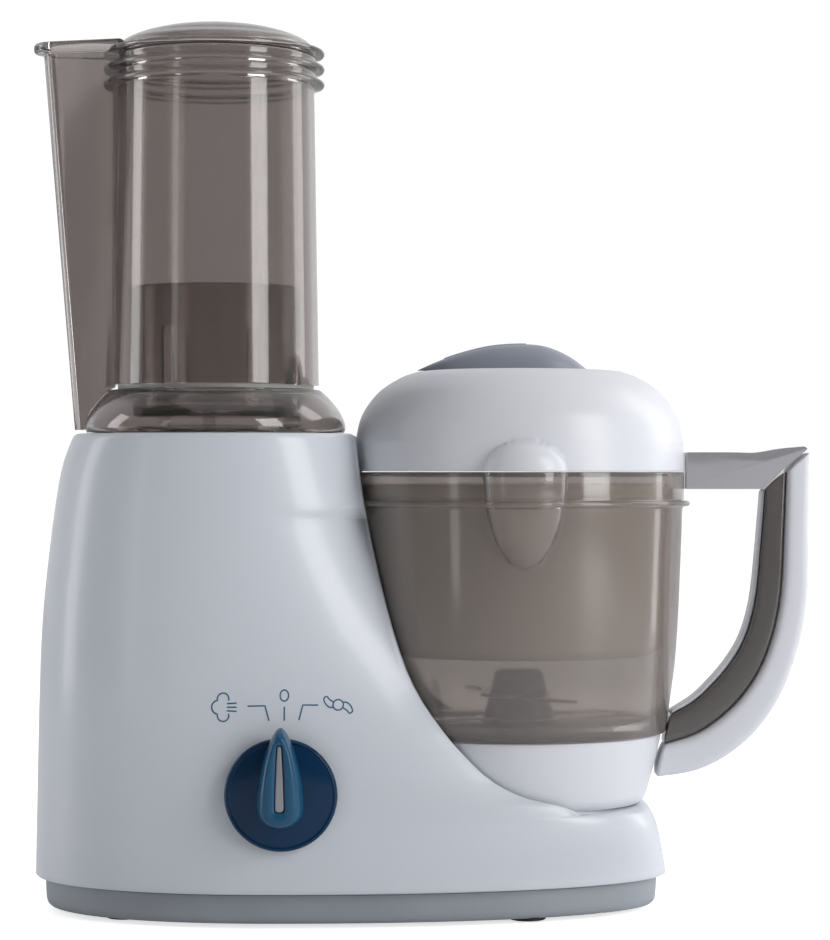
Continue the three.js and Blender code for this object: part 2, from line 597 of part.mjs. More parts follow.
function jug_bowl() {
  const body = turned([
    [0, 62], [50.9, 62], [51.9, 67.7], [57, 67.7], [58.5, 78], [60.8, 95], [62, 114],
    [63.6, 153.8], [66.6, 155.4], [66.6, 157.4], [64.1, 158.6], [64.2, JUG_RIM_Z],
    [0, JUG_RIM_Z],
  ], JUG_X);
  const room = turned([
    [0, 65], [46, 65], [49.5, 67.5], [53, 71.5], [55.9, 78], [58.3, 95], [59.5, 114],
    [61.2, 152], [61.7, 175], [0, 175],
  ], JUG_X);
  const spout = egg(15.5, 10.5, 35.5, JUG_RIM_Z);
  const spout_room = egg(13.2, 8.2, 33, JUG_RIM_Z + 0.01);
  const shell = cut(join(body, spout), room, spout_room);
  const tower = disc(BUSH_HOLE_R + 2.7, 62, 76, JUG_X, 0, MIDDLE);
  return cut(join(shell, tower), disc(BUSH_HOLE_R, 60, 80, JUG_X, 0, MIDDLE));
}
piece('jug_bowl', jug_bowl(), finish('smoked', 0.15, 0, 0.55));

piece('jug_foot', turned([
  [44.6, 40.6], [47.4, 40.6], [49.6, 43.4], [53.9, 60], [55.2, 67.4], [52.5, 67.4],
  [51.4, 60], [47.6, 45], [44.6, 43.2], [44.6, 40.6],
], JUG_X), finish('white', 0.35));

// The handle is one swept outline in three layers: a thin liner on the finger side, the smoked
// core of the jug, and the white cover outside.
const HANDLE_OUT = new THREE.SplineCurve([
  [150.9, 177], [150.5, 150], [149.8, 119], [144.7, 95], [136, 76], [123.6, 62], [108, 53],
  [91.6, 49.6],
].map(([x, z]) => new THREE.Vector2(x, z)));
const HANDLE_IN = new THREE.SplineCurve([
  [132.4, 161], [130.6, 140], [128.3, 119], [124.4, 105], [118.6, 95], [111.8, 87],
  [105.5, 81], [98.6, 76.5],
].map(([x, z]) => new THREE.Vector2(x, z)));
const HANDLE_STEPS = 14;

// Points along the handle, at a share of its thickness counted from the finger side.
function handle_line(share, from, to) {
  const points = [];
  for (let i = 0; i <= HANDLE_STEPS; i += 1) {
    const t = from + ((to - from) * i) / HANDLE_STEPS;
    points.push(HANDLE_IN.getPoint(t).lerp(HANDLE_OUT.getPoint(t), share));
  }
  return points;
}
function layer(a, b, half, to = 1) {
  const points = [...handle_line(a, 0, to), ...handle_line(b, 0, to).reverse()];
  return slab(new THREE.Shape(points), -half, half);
}

piece('handle_liner', layer(0, 0.08, 8.5), finish('white', 0.35));
piece('handle_cover', layer(0.42, 1, 9.5), finish('white', 0.35));
const bridge = slab(outline([
  [104.2, 161.6], [131.8, 161.6], [134.5, 163.1], [136.5, 161.5], [139.3, 166.8], [141.5, 177.2],
  [104.2, 175.8],
]), -8.5, 8.5);
piece('handle_core', join(layer(0.1, 0.4, 8.5, 0.985), bridge), finish('smoked', 0.15, 0, 0.6));

// ---------- blades and basket ----------
const BLADE_SHAFT_R = 3.1;
piece('blade_bush', ring(BLADE_SHAFT_R + GAP, BUSH_R, 62.4, 75.6, JUG_X, 0, MIDDLE),
  finish('silicone', 0.5));
piece('blade_spindle', cut(
  join(disc(10, 48, 61.4, JUG_X, 0, MIDDLE), disc(BLADE_SHAFT_R, 61, 88, JUG_X, 0, SMALL)),
  hexagon(HEX_R + 0.7, 47, 58.6),
), finish('steel', 0.35, 1));
piece('blade_hub', turned([
  [10.4, 65.4], [15, 65.4], [9.4, 90], [8, 91.4], [0, 91.8], [0, 88.4], [3.4, 88.4], [3.4, 76.2],
  [10.4, 76.2], [10.4, 65.4],
], JUG_X, 0, MIDDLE), finish('dark', 0.4));

// A two-winged blade round the hub: each wing sweeps back to a point.
function blade(z, turn, bore) {
  const wing = (side) => {
    const shape = new THREE.Shape();
    shape.moveTo(4 * side, -7 * side);
    shape.quadraticCurveTo(34 * side, -9 * side, 44 * side, 8 * side);
    shape.quadraticCurveTo(26 * side, 2 * side, 4 * side, 8 * side);
    shape.closePath();
    return raised(shape, z, z + 1.4, 5);
  };
  const middle = disc(bore + 3, z, z + 1.4, 0, 0, MIDDLE);
  const plate = cut(join(middle, wing(1), wing(-1)), disc(bore, z - 1, z + 3, 0, 0, MIDDLE));
  const made = plate.getMesh();
  const geometry = new THREE.BufferGeometry();
  geometry.setAttribute('position', new THREE.BufferAttribute(made.vertProperties, 3));
  geometry.setIndex(new THREE.BufferAttribute(made.triVerts, 1));
  return solid(geometry.rotateZ(turn).translate(JUG_X, 0, 0));
}
piece('lower_blade', blade(69, 0.3, 14.6), finish('steel', 0.2, 1));
piece('upper_blade', blade(81, 0.3 + Math.PI / 2, 11.9), finish('steel', 0.2, 1));

function steam_basket() {
  const cup = turned([
    [0, 98], [53, 98], [55.6, 101], [57.2, 114], [58.4, 157], [60.8, 159], [60.8, 163.6],
    [58.6, 163.6], [56.4, 157], [55.2, 114], [53, 100], [0, 100],
  ], JUG_X);
  const holes = [];
  for (let i = 0; i < 6; i += 1) {
    const a = (2 * Math.PI * i) / 6;
    const [x, y] = [JUG_X + 30 * Math.cos(a), 30 * Math.sin(a)];
    holes.push(disc(5, 90, 105, x, y, 6));
  }
  return cut(cup, ...holes);
}
piece('steam_basket', steam_basket(), finish('cream', 0.4));

// ---------- lid ----------
piece('lid_seal', turned([
  [56, 168.9], [61, 168.9], [61, 171.4], [56, 171.4], [56, 168.9],
], JUG_X), finish('silicone', 0.6));

function lid() {
  const dome = turned([
    [0, 168.5], [64.2, 168.5], [63.7, 181], [60.9, 191], [54.6, 199.3],
    [43.6, 206.2], [40, 207.5], [0, 207.5],
  ], JUG_X);
  const room = turned([
    [0, 160], [61.7, 160], [61.4, 179.6], [58.7, 189.6], [52.6, 197.4],
    [42.6, 203.6], [38, 205], [0, 205],
  ], JUG_X);
  const hood = (half_x, half_y, up) => {
    const sphere = new THREE.SphereGeometry(1, 14, 10).scale(half_x, half_y, up);
    const body = solid(sphere.translate(JUG_X, SPOUT_Y, 168.5));
    return cut(body, block(JUG_X - 40, JUG_X + 40, SPOUT_Y - 40, SPOUT_Y + 40, 150, 168.5));
  };
  const shell = cut(join(dome, hood(15.2, 10.4, 11)), room, hood(13, 8.2, 9));
  return cut(shell, block(JUG_X - 70, JUG_X - 58, -5, 5, 171.8, 177));
}
piece('lid', lid(), finish('white', 0.35));

function grip_side(grow) {
  const shape = new THREE.Shape();
  shape.moveTo(-1.5, 207.8);
  shape.bezierCurveTo(12, 213.6, 26, 218, 40, 218);
  shape.bezierCurveTo(52, 218, 60, 214, 65.2, 207.8);
  shape.closePath();
  return slab(shape, -grow, grow, 10);
}
function grip_plan() {
  const shape = new THREE.Shape();
  shape.moveTo(-2, 0);
  shape.bezierCurveTo(14, -12, 32, -15, 46, -14.5);
  shape.bezierCurveTo(60, -14, 66, -8, 66, 0);
  shape.bezierCurveTo(66, 8, 60, 14, 46, 14.5);
  shape.bezierCurveTo(32, 15, 14, 12, -2, 0);
  return raised(shape, 200, 230, 8);
}
const INLAY_X = [12, 40];
const inlay_box = block(INLAY_X[0], INLAY_X[1], -5, 5, 205, 225);
const grip_body = grip_side(20).intersect(grip_plan());
const under_inlay = slab(outline([
  [11, 211.2], [20, 214.2], [30, 216.2], [40.3, 217], [40.3, 225], [11, 225],
]), -5.3, 5.3);
piece('lid_grip', cut(grip_body, under_inlay), finish('grip', 0.4));
const inlay_floor = slab(outline([
  [12, 211.9], [20, 214.6], [30, 216.55], [40, 217.35], [40, 225], [12, 225],
]), -5, 5);
piece('grip_inlay', grip_body.intersect(inlay_floor).intersect(inlay_box), finish('pointer', 0.3));

export default food_maker;
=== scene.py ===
"""Baby food maker: a steam column with a smoked bottle bell, and a blender jug on one base."""
import math

import bmesh
import bpy
import numpy as np
from bpy.props import FloatProperty, FloatVectorProperty, PointerProperty
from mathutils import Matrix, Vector


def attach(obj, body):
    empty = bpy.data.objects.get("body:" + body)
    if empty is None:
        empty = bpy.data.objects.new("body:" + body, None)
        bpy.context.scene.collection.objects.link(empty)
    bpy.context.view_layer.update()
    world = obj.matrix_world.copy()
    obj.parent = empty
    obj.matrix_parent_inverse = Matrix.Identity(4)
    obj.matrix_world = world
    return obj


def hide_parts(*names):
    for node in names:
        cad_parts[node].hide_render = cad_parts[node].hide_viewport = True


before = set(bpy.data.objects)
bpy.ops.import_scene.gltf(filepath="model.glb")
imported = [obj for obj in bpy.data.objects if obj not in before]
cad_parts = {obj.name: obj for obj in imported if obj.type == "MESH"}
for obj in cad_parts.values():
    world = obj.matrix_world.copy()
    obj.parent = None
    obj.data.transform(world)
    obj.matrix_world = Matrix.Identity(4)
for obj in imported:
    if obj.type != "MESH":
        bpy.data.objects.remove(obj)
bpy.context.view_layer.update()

bl_info = {
    "name": "Baby food maker",
    "version": (1, 0, 0),
    "blender": (4, 5, 0),
    "location": "3D View > Sidebar > Food Maker",
    "description": "Builds the visible pieces of a baby food maker round its fixed frame",
    "category": "Object",
}

MM = 0.001


# ---------- sizes and colours ----------
def length(name, millimetres, description):
    return FloatProperty(name=name, description=description, default=millimetres * MM,
                         unit="LENGTH", precision=5)


def colour(name, value, description):
    return FloatVectorProperty(name=name, description=description, default=value,
                               subtype="COLOR", size=3, min=0.0, max=1.0)


class FoodMakerSizes(bpy.types.PropertyGroup):
    """Sizes of the food maker"""
    housing_wall: length("Housing wall", 2.6, "Thickness of the housing's wall")
    edge_round: length("Edge rounding", 1.8, "Rounding of the housing's top edge")
    bell_wall: length("Bell wall", 2.2, "Thickness of the smoked bell")
    rim_spread: length("Bell rims", 42.6, "Radius of the three rims at the bell's top")
    knob_radius: length("Knob", 20.8, "Radius of the knob's disc")
    line_width: length("Printed line", 0.55, "Width of the printed lines by the knob")
    hole_radius: length("Basket hole", 2.0, "Radius of a hole in the basket's floor")
    handle_half: length("Handle", 9.5, "Half the width of the handle's cover")
    vent_width: length("Vent", 4.0, "Width of a vent under the motor")


class FoodMakerColours(bpy.types.PropertyGroup):
    """Colours of the food maker"""
    shell: colour("Housing", (0.63, 0.66, 0.715), "Light blue-grey plastic of the housing")
    plate: colour("Base plate", (0.31, 0.335, 0.365), "Grey plastic of the base plate")
    white: colour("White", (0.70, 0.71, 0.755), "White plastic of the lid, foot and handle")
    smoke: colour("Bell smoke", (0.46, 0.42, 0.405), "Smoked plastic of the bell and collar")
    jug_smoke: colour("Jug smoke", (0.62, 0.57, 0.54), "Smoked plastic of the jug")
    knob: colour("Knob", (0.001, 0.028, 0.078), "Deep blue of the knob's disc")
    pointer: colour("Pointer", (0.010, 0.080, 0.165), "Mid blue of the pointer and inlay")
    print_blue: colour("Print", (0.035, 0.115, 0.19), "Blue of the printed marks")
    grip: colour("Grip", (0.27, 0.29, 0.345), "Blue-grey of the lid's grip")
    cream: colour("Basket", (0.68, 0.59, 0.48), "Cream plastic of the basket")
    rubber: colour("Rubber", (0.022, 0.023, 0.026), "Dark rubber")
    silicone: colour("Silicone", (0.58, 0.58, 0.55), "Pale silicone of the seals")


# ---------- lines and rings ----------
JUG_X = 38.2                  # axis of the jug and its drive
TOWER_X = -80.0               # axis of the bell
KNOB_X, KNOB_Z = -51.5, 49.8
SEAT_Z = 40.2                 # seat that the jug stands on
HOUSING_Z = 12.6              # lower edge of the housing
HOUSING_TOP = 183.0
JUG_RIM_Z = 168.2


def lerp(a, b, t):
    return a + (b - a) * min(1.0, max(0.0, t))


def ease(v, low, high):
    t = min(1.0, max(0.0, (v - low) / (high - low)))
    return t * t * (3 - 2 * t)


def evenly(line, count):
    """The line read at evenly spaced points."""
    line = np.asarray(line, float)
    step = np.linalg.norm(np.diff(line, axis=0), axis=1)
    along = np.concatenate([[0], np.cumsum(step)])
    places = np.linspace(0, along[-1], count)
    return np.stack([np.interp(places, along, line[:, k]) for k in range(line.shape[1])], axis=1)


def spline(points, count):
    """A smooth line through the points, evenly spaced."""
    p = np.array(points, float)
    p = np.vstack([2 * p[0] - p[1], p, 2 * p[-1] - p[-2]])
    t = np.linspace(0, 1, 30, endpoint=False)[:, None]
    parts = []
    for a, b, c, d in zip(p, p[1:], p[2:], p[3:]):
        parts.append(0.5 * (2 * b + (c - a) * t + (2 * a - 5 * b + 4 * c - d) * t ** 2
                            + (3 * b - a - 3 * c + d) * t ** 3))
    return evenly(np.vstack(parts + [p[-2:-1]]), count)


def rounded(corners, radius, steps=5, closed=True):
    """A line with its corners rounded; a corner may carry its own radius as a third number."""
    count = len(corners)
    line = []
    for i, corner in enumerate(corners):
        own = corner[2] if len(corner) > 2 else radius
        here = np.array(corner[:2], float)
        if own == 0 or (not closed and i in (0, count - 1)):
            line.append(here)
            continue
        back = np.array(corners[i - 1][:2], float) - here
        ahead = np.array(corners[(i + 1) % count][:2], float) - here
        reach = min(own, 0.47 * np.linalg.norm(back), 0.47 * np.linalg.norm(ahead))
        start = here + back / np.linalg.norm(back) * reach
        end = here + ahead / np.linalg.norm(ahead) * reach
        for t in np.linspace(0, 1, steps + 1):
            line.append((1 - t) ** 2 * start + 2 * t * (1 - t) * here + t * t * end)
    return np.array(line)


def across(pairs, count=300):
    """Reads x at any height from [x, z] points joined by a smooth line."""
    line = spline(pairs, count)
    return lambda z: float(np.interp(z, line[:, 1], line[:, 0]))


def circle(sides, start=0.0):
    return np.linspace(start, start + 2 * math.pi, sides, endpoint=False)


# ---------- meshes ----------
def tidy(obj, sharp=32):
    mesh = bmesh.new()
    mesh.from_mesh(obj.data)
    bmesh.ops.remove_doubles(mesh, verts=mesh.verts, dist=2e-6)
    bmesh.ops.dissolve_degenerate(mesh, edges=mesh.edges, dist=1e-6)
    bmesh.ops.recalc_face_normals(mesh, faces=mesh.faces)
    mesh.to_mesh(obj.data)
    mesh.free()
    soften(obj, sharp)
    return obj


def soften(obj, sharp=32):
    obj.data.polygons.foreach_set("use_smooth", [True] * len(obj.data.polygons))
    obj.data.set_sharp_from_angle(angle=math.radians(sharp))
    obj.data.update()


def made(name, verts, faces, material=None, sharp=32):
    """A new object from points in millimetres."""
    mesh = bpy.data.meshes.new(name)
    mesh.from_pydata((np.asarray(verts, float) * MM).tolist(), [], [tuple(f) for f in faces])
    obj = bpy.data.objects.new(name, mesh)
    bpy.context.scene.collection.objects.link(obj)
    tidy(obj, sharp)
    if material:
        obj.data.materials.append(material)
    return obj


def skin(rings, loop=False, ends=True, closed=True):
    """Points and faces between rings of equal count."""
    count, rows = len(rings[0]), len(rings)
    faces = []
    for i in range(rows if loop else rows - 1):
        a, b = i * count, ((i + 1) % rows) * count
        for j in range(count if closed else count - 1):
            k = (j + 1) % count
            faces.append((a + j, a + k, b + k, b + j))
    if ends and not loop:
        faces.append(tuple(reversed(range(count))))
        faces.append(tuple(range((rows - 1) * count, rows * count)))
    return np.vstack(rings), faces


def turned(name, profile, material, x=0.0, y=0.0, sides=96, loop=True, sharp=32):
    """[radius, height] points turned about an upright axis."""
    turn = circle(sides)
    rings = [np.stack([x + r * np.cos(turn), y + r * np.sin(turn), np.full(sides, z)], axis=1)
             for r, z in profile]
    return made(name, *skin(rings, loop=loop, ends=False), material, sharp)


def facing(name, profile, material, x, z, sides=96, loop=False):
    """[radius, distance forward] points turned about an axis that points to the front."""
    turn = circle(sides)
    rings = [np.stack([x + r * np.cos(turn), np.full(sides, -h), z + r * np.sin(turn)], axis=1)
             for r, h in profile]
    return made(name, *skin(rings, loop=loop, ends=False), material)


def joined(name, objects):
    """Several objects as one, in which each keeps its own material."""
    mesh = bmesh.new()
    materials = []
    for obj in objects:
        start = len(mesh.faces)
        mesh.from_mesh(obj.data)
        mesh.faces.ensure_lookup_table()
        own = obj.data.materials[0] if obj.data.materials else None
        if own and own not in materials:
            materials.append(own)
        for face in mesh.faces[start:]:
            face.material_index = materials.index(own) if own else 0
    keep = objects[0]
    keep.data.materials.clear()
    for material in materials:
        keep.data.materials.append(material)
    mesh.to_mesh(keep.data)
    mesh.free()
    for obj in objects[1:]:
        bpy.data.objects.remove(obj)
    keep.name = name
    soften(keep)
    return keep


def baked(obj):
    """Works the modifiers into the mesh."""
    bpy.context.view_layer.update()
    graph = bpy.context.evaluated_depsgraph_get()
    mesh = bpy.data.meshes.new_from_object(obj.evaluated_get(graph))
    obj.modifiers.clear()
    obj.data = mesh
    return obj


def carved(obj, *cutters, solver="EXACT"):
    """Cuts the cutters out of the object."""
    for cutter in cutters:
        hole = obj.modifiers.new("hole", "BOOLEAN")
        hole.operation = "DIFFERENCE"
        hole.solver = solver
        hole.object = cutter
        cutter.data.materials.clear()
    baked(obj)
    for cutter in cutters:
        bpy.data.objects.remove(cutter)
    soften(obj)
    return obj


def peg(r, z0, z1, x, y, sides=48):
    return turned("peg", [(0, z0), (r, z0), (r, z1), (0, z1)], None, x, y, sides, loop=False)


def peg_forward(r, h0, h1, x, z, sides=48):
    return facing("peg", [(0, h0), (r, h0), (r, h1), (0, h1)], None, x, z, sides)


def block(x0, x1, y0, y1, z0, z1):
    corners = [(x, y, z) for z in (z0, z1) for x, y in ((x0, y0), (x1, y0), (x1, y1), (x0, y1))]
    faces = [(3, 2, 1, 0), (4, 5, 6, 7), (0, 1, 5, 4), (1, 2, 6, 5), (2, 3, 7, 6), (3, 0, 4, 7)]
    return made("block", corners, faces)


def bevelled(obj, width, steps=3, angle=30):
    edge = obj.modifiers.new("edge", "BEVEL")
    edge.width = width * MM
    edge.segments = steps
    edge.limit_method = "ANGLE"
    edge.angle_limit = math.radians(angle)
    edge.harden_normals = False
    baked(obj)
    soften(obj)
    return obj


def slab(name, outline, y0, y1, material):
    """An outline in X and Z, thickened from y0 to y1."""
    line = np.asarray(outline, float)
    rings = [np.stack([line[:, 0], np.full(len(line), y), line[:, 1]], axis=1) for y in (y0, y1)]
    return made(name, *skin(rings), material)


def place(obj, body, slot, *nodes):
    """Puts a finished piece on its body, in its finish slot, in place of its CAD nodes."""
    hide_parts(*nodes)
    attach(obj, body)
    return obj


# ---------- repeated parts ----------
def copies_tree():
    """Geometry Nodes: one part copied to every place, each turned by its own angle."""
    tree = bpy.data.node_groups.new("Copies on places", "GeometryNodeTree")
    face = tree.interface
    face.new_socket("Places", in_out="INPUT", socket_type="NodeSocketGeometry")
    face.new_socket("Part", in_out="INPUT", socket_type="NodeSocketObject")
    size = face.new_socket("Size", in_out="INPUT", socket_type="NodeSocketFloat")
    size.default_value = 1.0
    face.new_socket("Lift", in_out="INPUT", socket_type="NodeSocketFloat")
    face.new_socket("Finish", in_out="INPUT", socket_type="NodeSocketMaterial")
    face.new_socket("Pieces", in_out="OUTPUT", socket_type="NodeSocketGeometry")
    add, link = tree.nodes.new, tree.links.new
    given, result = add("NodeGroupInput"), add("NodeGroupOutput")
    part, turn, around = add("GeometryNodeObjectInfo"), add("GeometryNodeInputNamedAttribute"), add(
        "ShaderNodeCombineXYZ")
    turn.data_type = "FLOAT"
    turn.inputs["Name"].default_value = "turn"
    raised = add("ShaderNodeCombineXYZ")
    moved = add("GeometryNodeSetPosition")
    spread = add("GeometryNodeInstanceOnPoints")
    real, painted = add("GeometryNodeRealizeInstances"), add("GeometryNodeSetMaterial")
    link(given.outputs["Part"], part.inputs["Object"])
    link(turn.outputs["Attribute"], around.inputs["Z"])
    link(given.outputs["Lift"], raised.inputs["Z"])
    link(given.outputs["Places"], moved.inputs["Geometry"])
    link(raised.outputs["Vector"], moved.inputs["Offset"])
    link(moved.outputs["Geometry"], spread.inputs["Points"])
    link(part.outputs["Geometry"], spread.inputs["Instance"])
    link(around.outputs["Vector"], spread.inputs["Rotation"])
    link(given.outputs["Size"], spread.inputs["Scale"])
    link(spread.outputs["Instances"], real.inputs["Geometry"])
    link(real.outputs["Geometry"], painted.inputs["Geometry"])
    link(given.outputs["Finish"], painted.inputs["Material"])
    link(painted.outputs["Geometry"], result.inputs["Pieces"])
    return tree


def copies(name, part, places, material, size=1.0, lift=0.0):
    """The part at every (x, y, z, angle) place, made by Geometry Nodes and worked into one mesh."""
    tree = bpy.data.node_groups.get("Copies on places") or copies_tree()
    mesh = bpy.data.meshes.new(name)
    mesh.from_pydata([(x * MM, y * MM, z * MM) for x, y, z, _ in places], [], [])
    angle = mesh.attributes.new("turn", "FLOAT", "POINT")
    angle.data.foreach_set("value", [a for _, _, _, a in places])
    obj = bpy.data.objects.new(name, mesh)
    bpy.context.scene.collection.objects.link(obj)
    spread = obj.modifiers.new("copies", "NODES")
    spread.node_group = tree
    sockets = {s.name: s.identifier for s in tree.interface.items_tree if s.in_out == "INPUT"}
    spread[sockets["Part"]] = part
    spread[sockets["Size"]] = size
    spread[sockets["Lift"]] = lift * MM
    spread[sockets["Finish"]] = material
    baked(obj)
    bpy.data.objects.remove(part)
    soften(obj)
    return obj


# ---------- materials ----------
def finish(name, base, rough, metal=0.0, grain=900.0, tint=0.04, mottle=0.05, bump=0.02,
           clear=0.0, ior=1.46, coat=0.0, coat_rough=0.1, brushed=None):
    """A plastic, rubber or metal: fine grain in its bump, with slow changes in colour and gloss."""
    mat = bpy.data.materials.get(name)
    if mat:
        return mat
    mat = bpy.data.materials.new(name)
    mat.use_nodes = True
    tree = mat.node_tree
    add, link = tree.nodes.new, tree.links.new
    body = tree.nodes["Principled BSDF"]
    where = add("ShaderNodeTexCoord")
    slow, fine = add("ShaderNodeTexNoise"), add("ShaderNodeTexNoise")
    stretch = add("ShaderNodeMapping")
    slow.inputs["Scale"].default_value = 28.0
    slow.inputs["Detail"].default_value = 4.0
    fine.inputs["Scale"].default_value = grain
    fine.inputs["Detail"].default_value = 3.0
    stretch.inputs["Scale"].default_value = brushed or (1.0, 1.0, 1.0)
    link(where.outputs["Object"], slow.inputs["Vector"])
    link(where.outputs["Object"], stretch.inputs["Vector"])
    link(stretch.outputs["Vector"], fine.inputs["Vector"])
    shade = add("ShaderNodeValToRGB")
    dark = [c * (1 - tint) for c in base]
    light = [min(1.0, c * (1 + tint)) for c in base]
    shade.color_ramp.elements[0].position = 0.3
    shade.color_ramp.elements[0].color = (*dark, 1)
    shade.color_ramp.elements[1].position = 0.7
    shade.color_ramp.elements[1].color = (*light, 1)
    gloss = add("ShaderNodeMapRange")
    gloss.inputs["From Min"].default_value = 0.3
    gloss.inputs["From Max"].default_value = 0.7
    gloss.inputs["To Min"].default_value = max(0.02, rough - mottle)
    gloss.inputs["To Max"].default_value = rough + mottle
    link(slow.outputs["Fac"], shade.inputs["Fac"])
    link(slow.outputs["Fac"], gloss.inputs["Value"])
    link(shade.outputs["Color"], body.inputs["Base Color"])
    link(gloss.outputs["Result"], body.inputs["Roughness"])
    body.inputs["Metallic"].default_value = metal
    body.inputs["IOR"].default_value = ior
    body.inputs["Transmission Weight"].default_value = clear
    body.inputs["Coat Weight"].default_value = coat
    body.inputs["Coat Roughness"].default_value = coat_rough
    if bump:
        relief = add("ShaderNodeBump")
        relief.inputs["Strength"].default_value = bump
        relief.inputs["Distance"].default_value = 0.0004
        link(fine.outputs["Fac"], relief.inputs["Height"])
        link(relief.outputs["Normal"], body.inputs["Normal"])
    return mat


def shell_plastic(c):
    return finish("moulded shell plastic", c.shell, 0.33, grain=1600, tint=0.004, mottle=0.006,
                  bump=0.05, coat=0.25, coat_rough=0.12)


def white_plastic(c):
    return finish("white moulded plastic", c.white, 0.36, grain=1400, tint=0.004, mottle=0.006,
                  bump=0.04, coat=0.12, coat_rough=0.2)


def plate_plastic(c):
    return finish("grey textured plastic", c.plate, 0.48, grain=2200, tint=0.05, bump=0.14)


def bell_plastic(c):
    return finish("smoked bell plastic", c.smoke, 0.075, grain=160, tint=0.02, mottle=0.012,
                  bump=0.006, clear=0.97, ior=1.5)


def jug_plastic(c):
    return finish("smoked jug plastic", c.jug_smoke, 0.09, grain=180, tint=0.02, mottle=0.015,
                  bump=0.006, clear=0.84, ior=1.5)


def steel():
    return finish("brushed steel", (0.62, 0.63, 0.65), 0.27, metal=1.0, grain=420, tint=0.05,
                  mottle=0.07, bump=0.08, brushed=(1, 1, 9))


def brass():
    return finish("sintered bronze", (0.53, 0.37, 0.16), 0.38, metal=1.0, grain=1400, tint=0.12,
                  mottle=0.1, bump=0.12)


def dark_plastic():
    return finish("dark glass-filled plastic", (0.034, 0.036, 0.042), 0.45, grain=1500,
                  tint=0.15, mottle=0.08, bump=0.12)


def rubber(c):
    return finish("matt rubber", c.rubber, 0.72, grain=2400, tint=0.2, mottle=0.1, bump=0.2)


def silicone(c):
    return finish("pale silicone", c.silicone, 0.42, grain=900, tint=0.03, mottle=0.06,
                  bump=0.06, clear=0.25, ior=1.41)


# ---------- housing ----------
left_edge = across([(-149.6, 12), (-148.2, 76), (-146.2, 119), (-140.4, 165), (-134.8, 183)])
platform_edge = across([(95.6, 12), (93.2, 25), (91.2, 33), (89.4, 37), (87.6, 39.4), (85.6, 40.2)])
sweep_edge = across([(58, 40.2), (52, 43.7), (36, 48), (20, 58), (0, 81.5), (-11, 107),
                     (-21.5, 150), (-26.3, 183)], 900)
RECESS = [(50.7, 40.2), (55.2, 60), (58, 67.3), (61.7, 95), (62.9, 114), (64.5, 150.5),
          (67.4, 154.5), (67.4, 200)]


def recess_radius(z):
    return float(np.interp(z, [p[1] for p in RECESS], [p[0] for p in RECESS]))


def housing_plan(z):
    """Middle, half sizes and exponents of the housing's outline at one height."""
    middle = lerp(-55, -79, ease(z, 40, 95))
    depth = 1 - 0.165 * max(0.0, (z - 12) / 171) ** 1.6
    front, rear = 63.5 * depth, 66 * depth
    left = middle - left_edge(z)
    blunt = 2.15 + 0.95 * ease(z, 12.6, 40.2) - 1.0 * ease(z, 40.2, 100)
    flat = platform_edge(min(z, SEAT_Z)) - middle
    if z <= SEAT_Z:
        return middle, front, rear, left, flat, flat, blunt
    tip = sweep_edge(z)
    inside = math.sqrt(max(1.0, recess_radius(z) ** 2 - (JUG_X - tip) ** 2))
    thick = lerp(0.9, 2.4, (z - 44) / 30)
    reach = []
    for half in (front, rear):
        share = min(0.995, (inside + thick) / half)
        reach.append((tip - middle) / (1 - share ** blunt) ** (1 / blunt))
    t = ease(z, SEAT_Z, 47)
    return middle, front, rear, left, lerp(flat, reach[0], t), lerp(flat, reach[1], t), blunt


def front_y(x, z):
    """The housing's front surface."""
    middle, front, _, left, right, _, blunt = housing_plan(z)
    share, power = ((x - middle) / right, blunt) if x > middle else ((middle - x) / left, 2.2)
    return -front * (1 - min(1.0, share) ** power) ** (1 / power)


TURN = np.linspace(0, math.pi / 2, 1500)


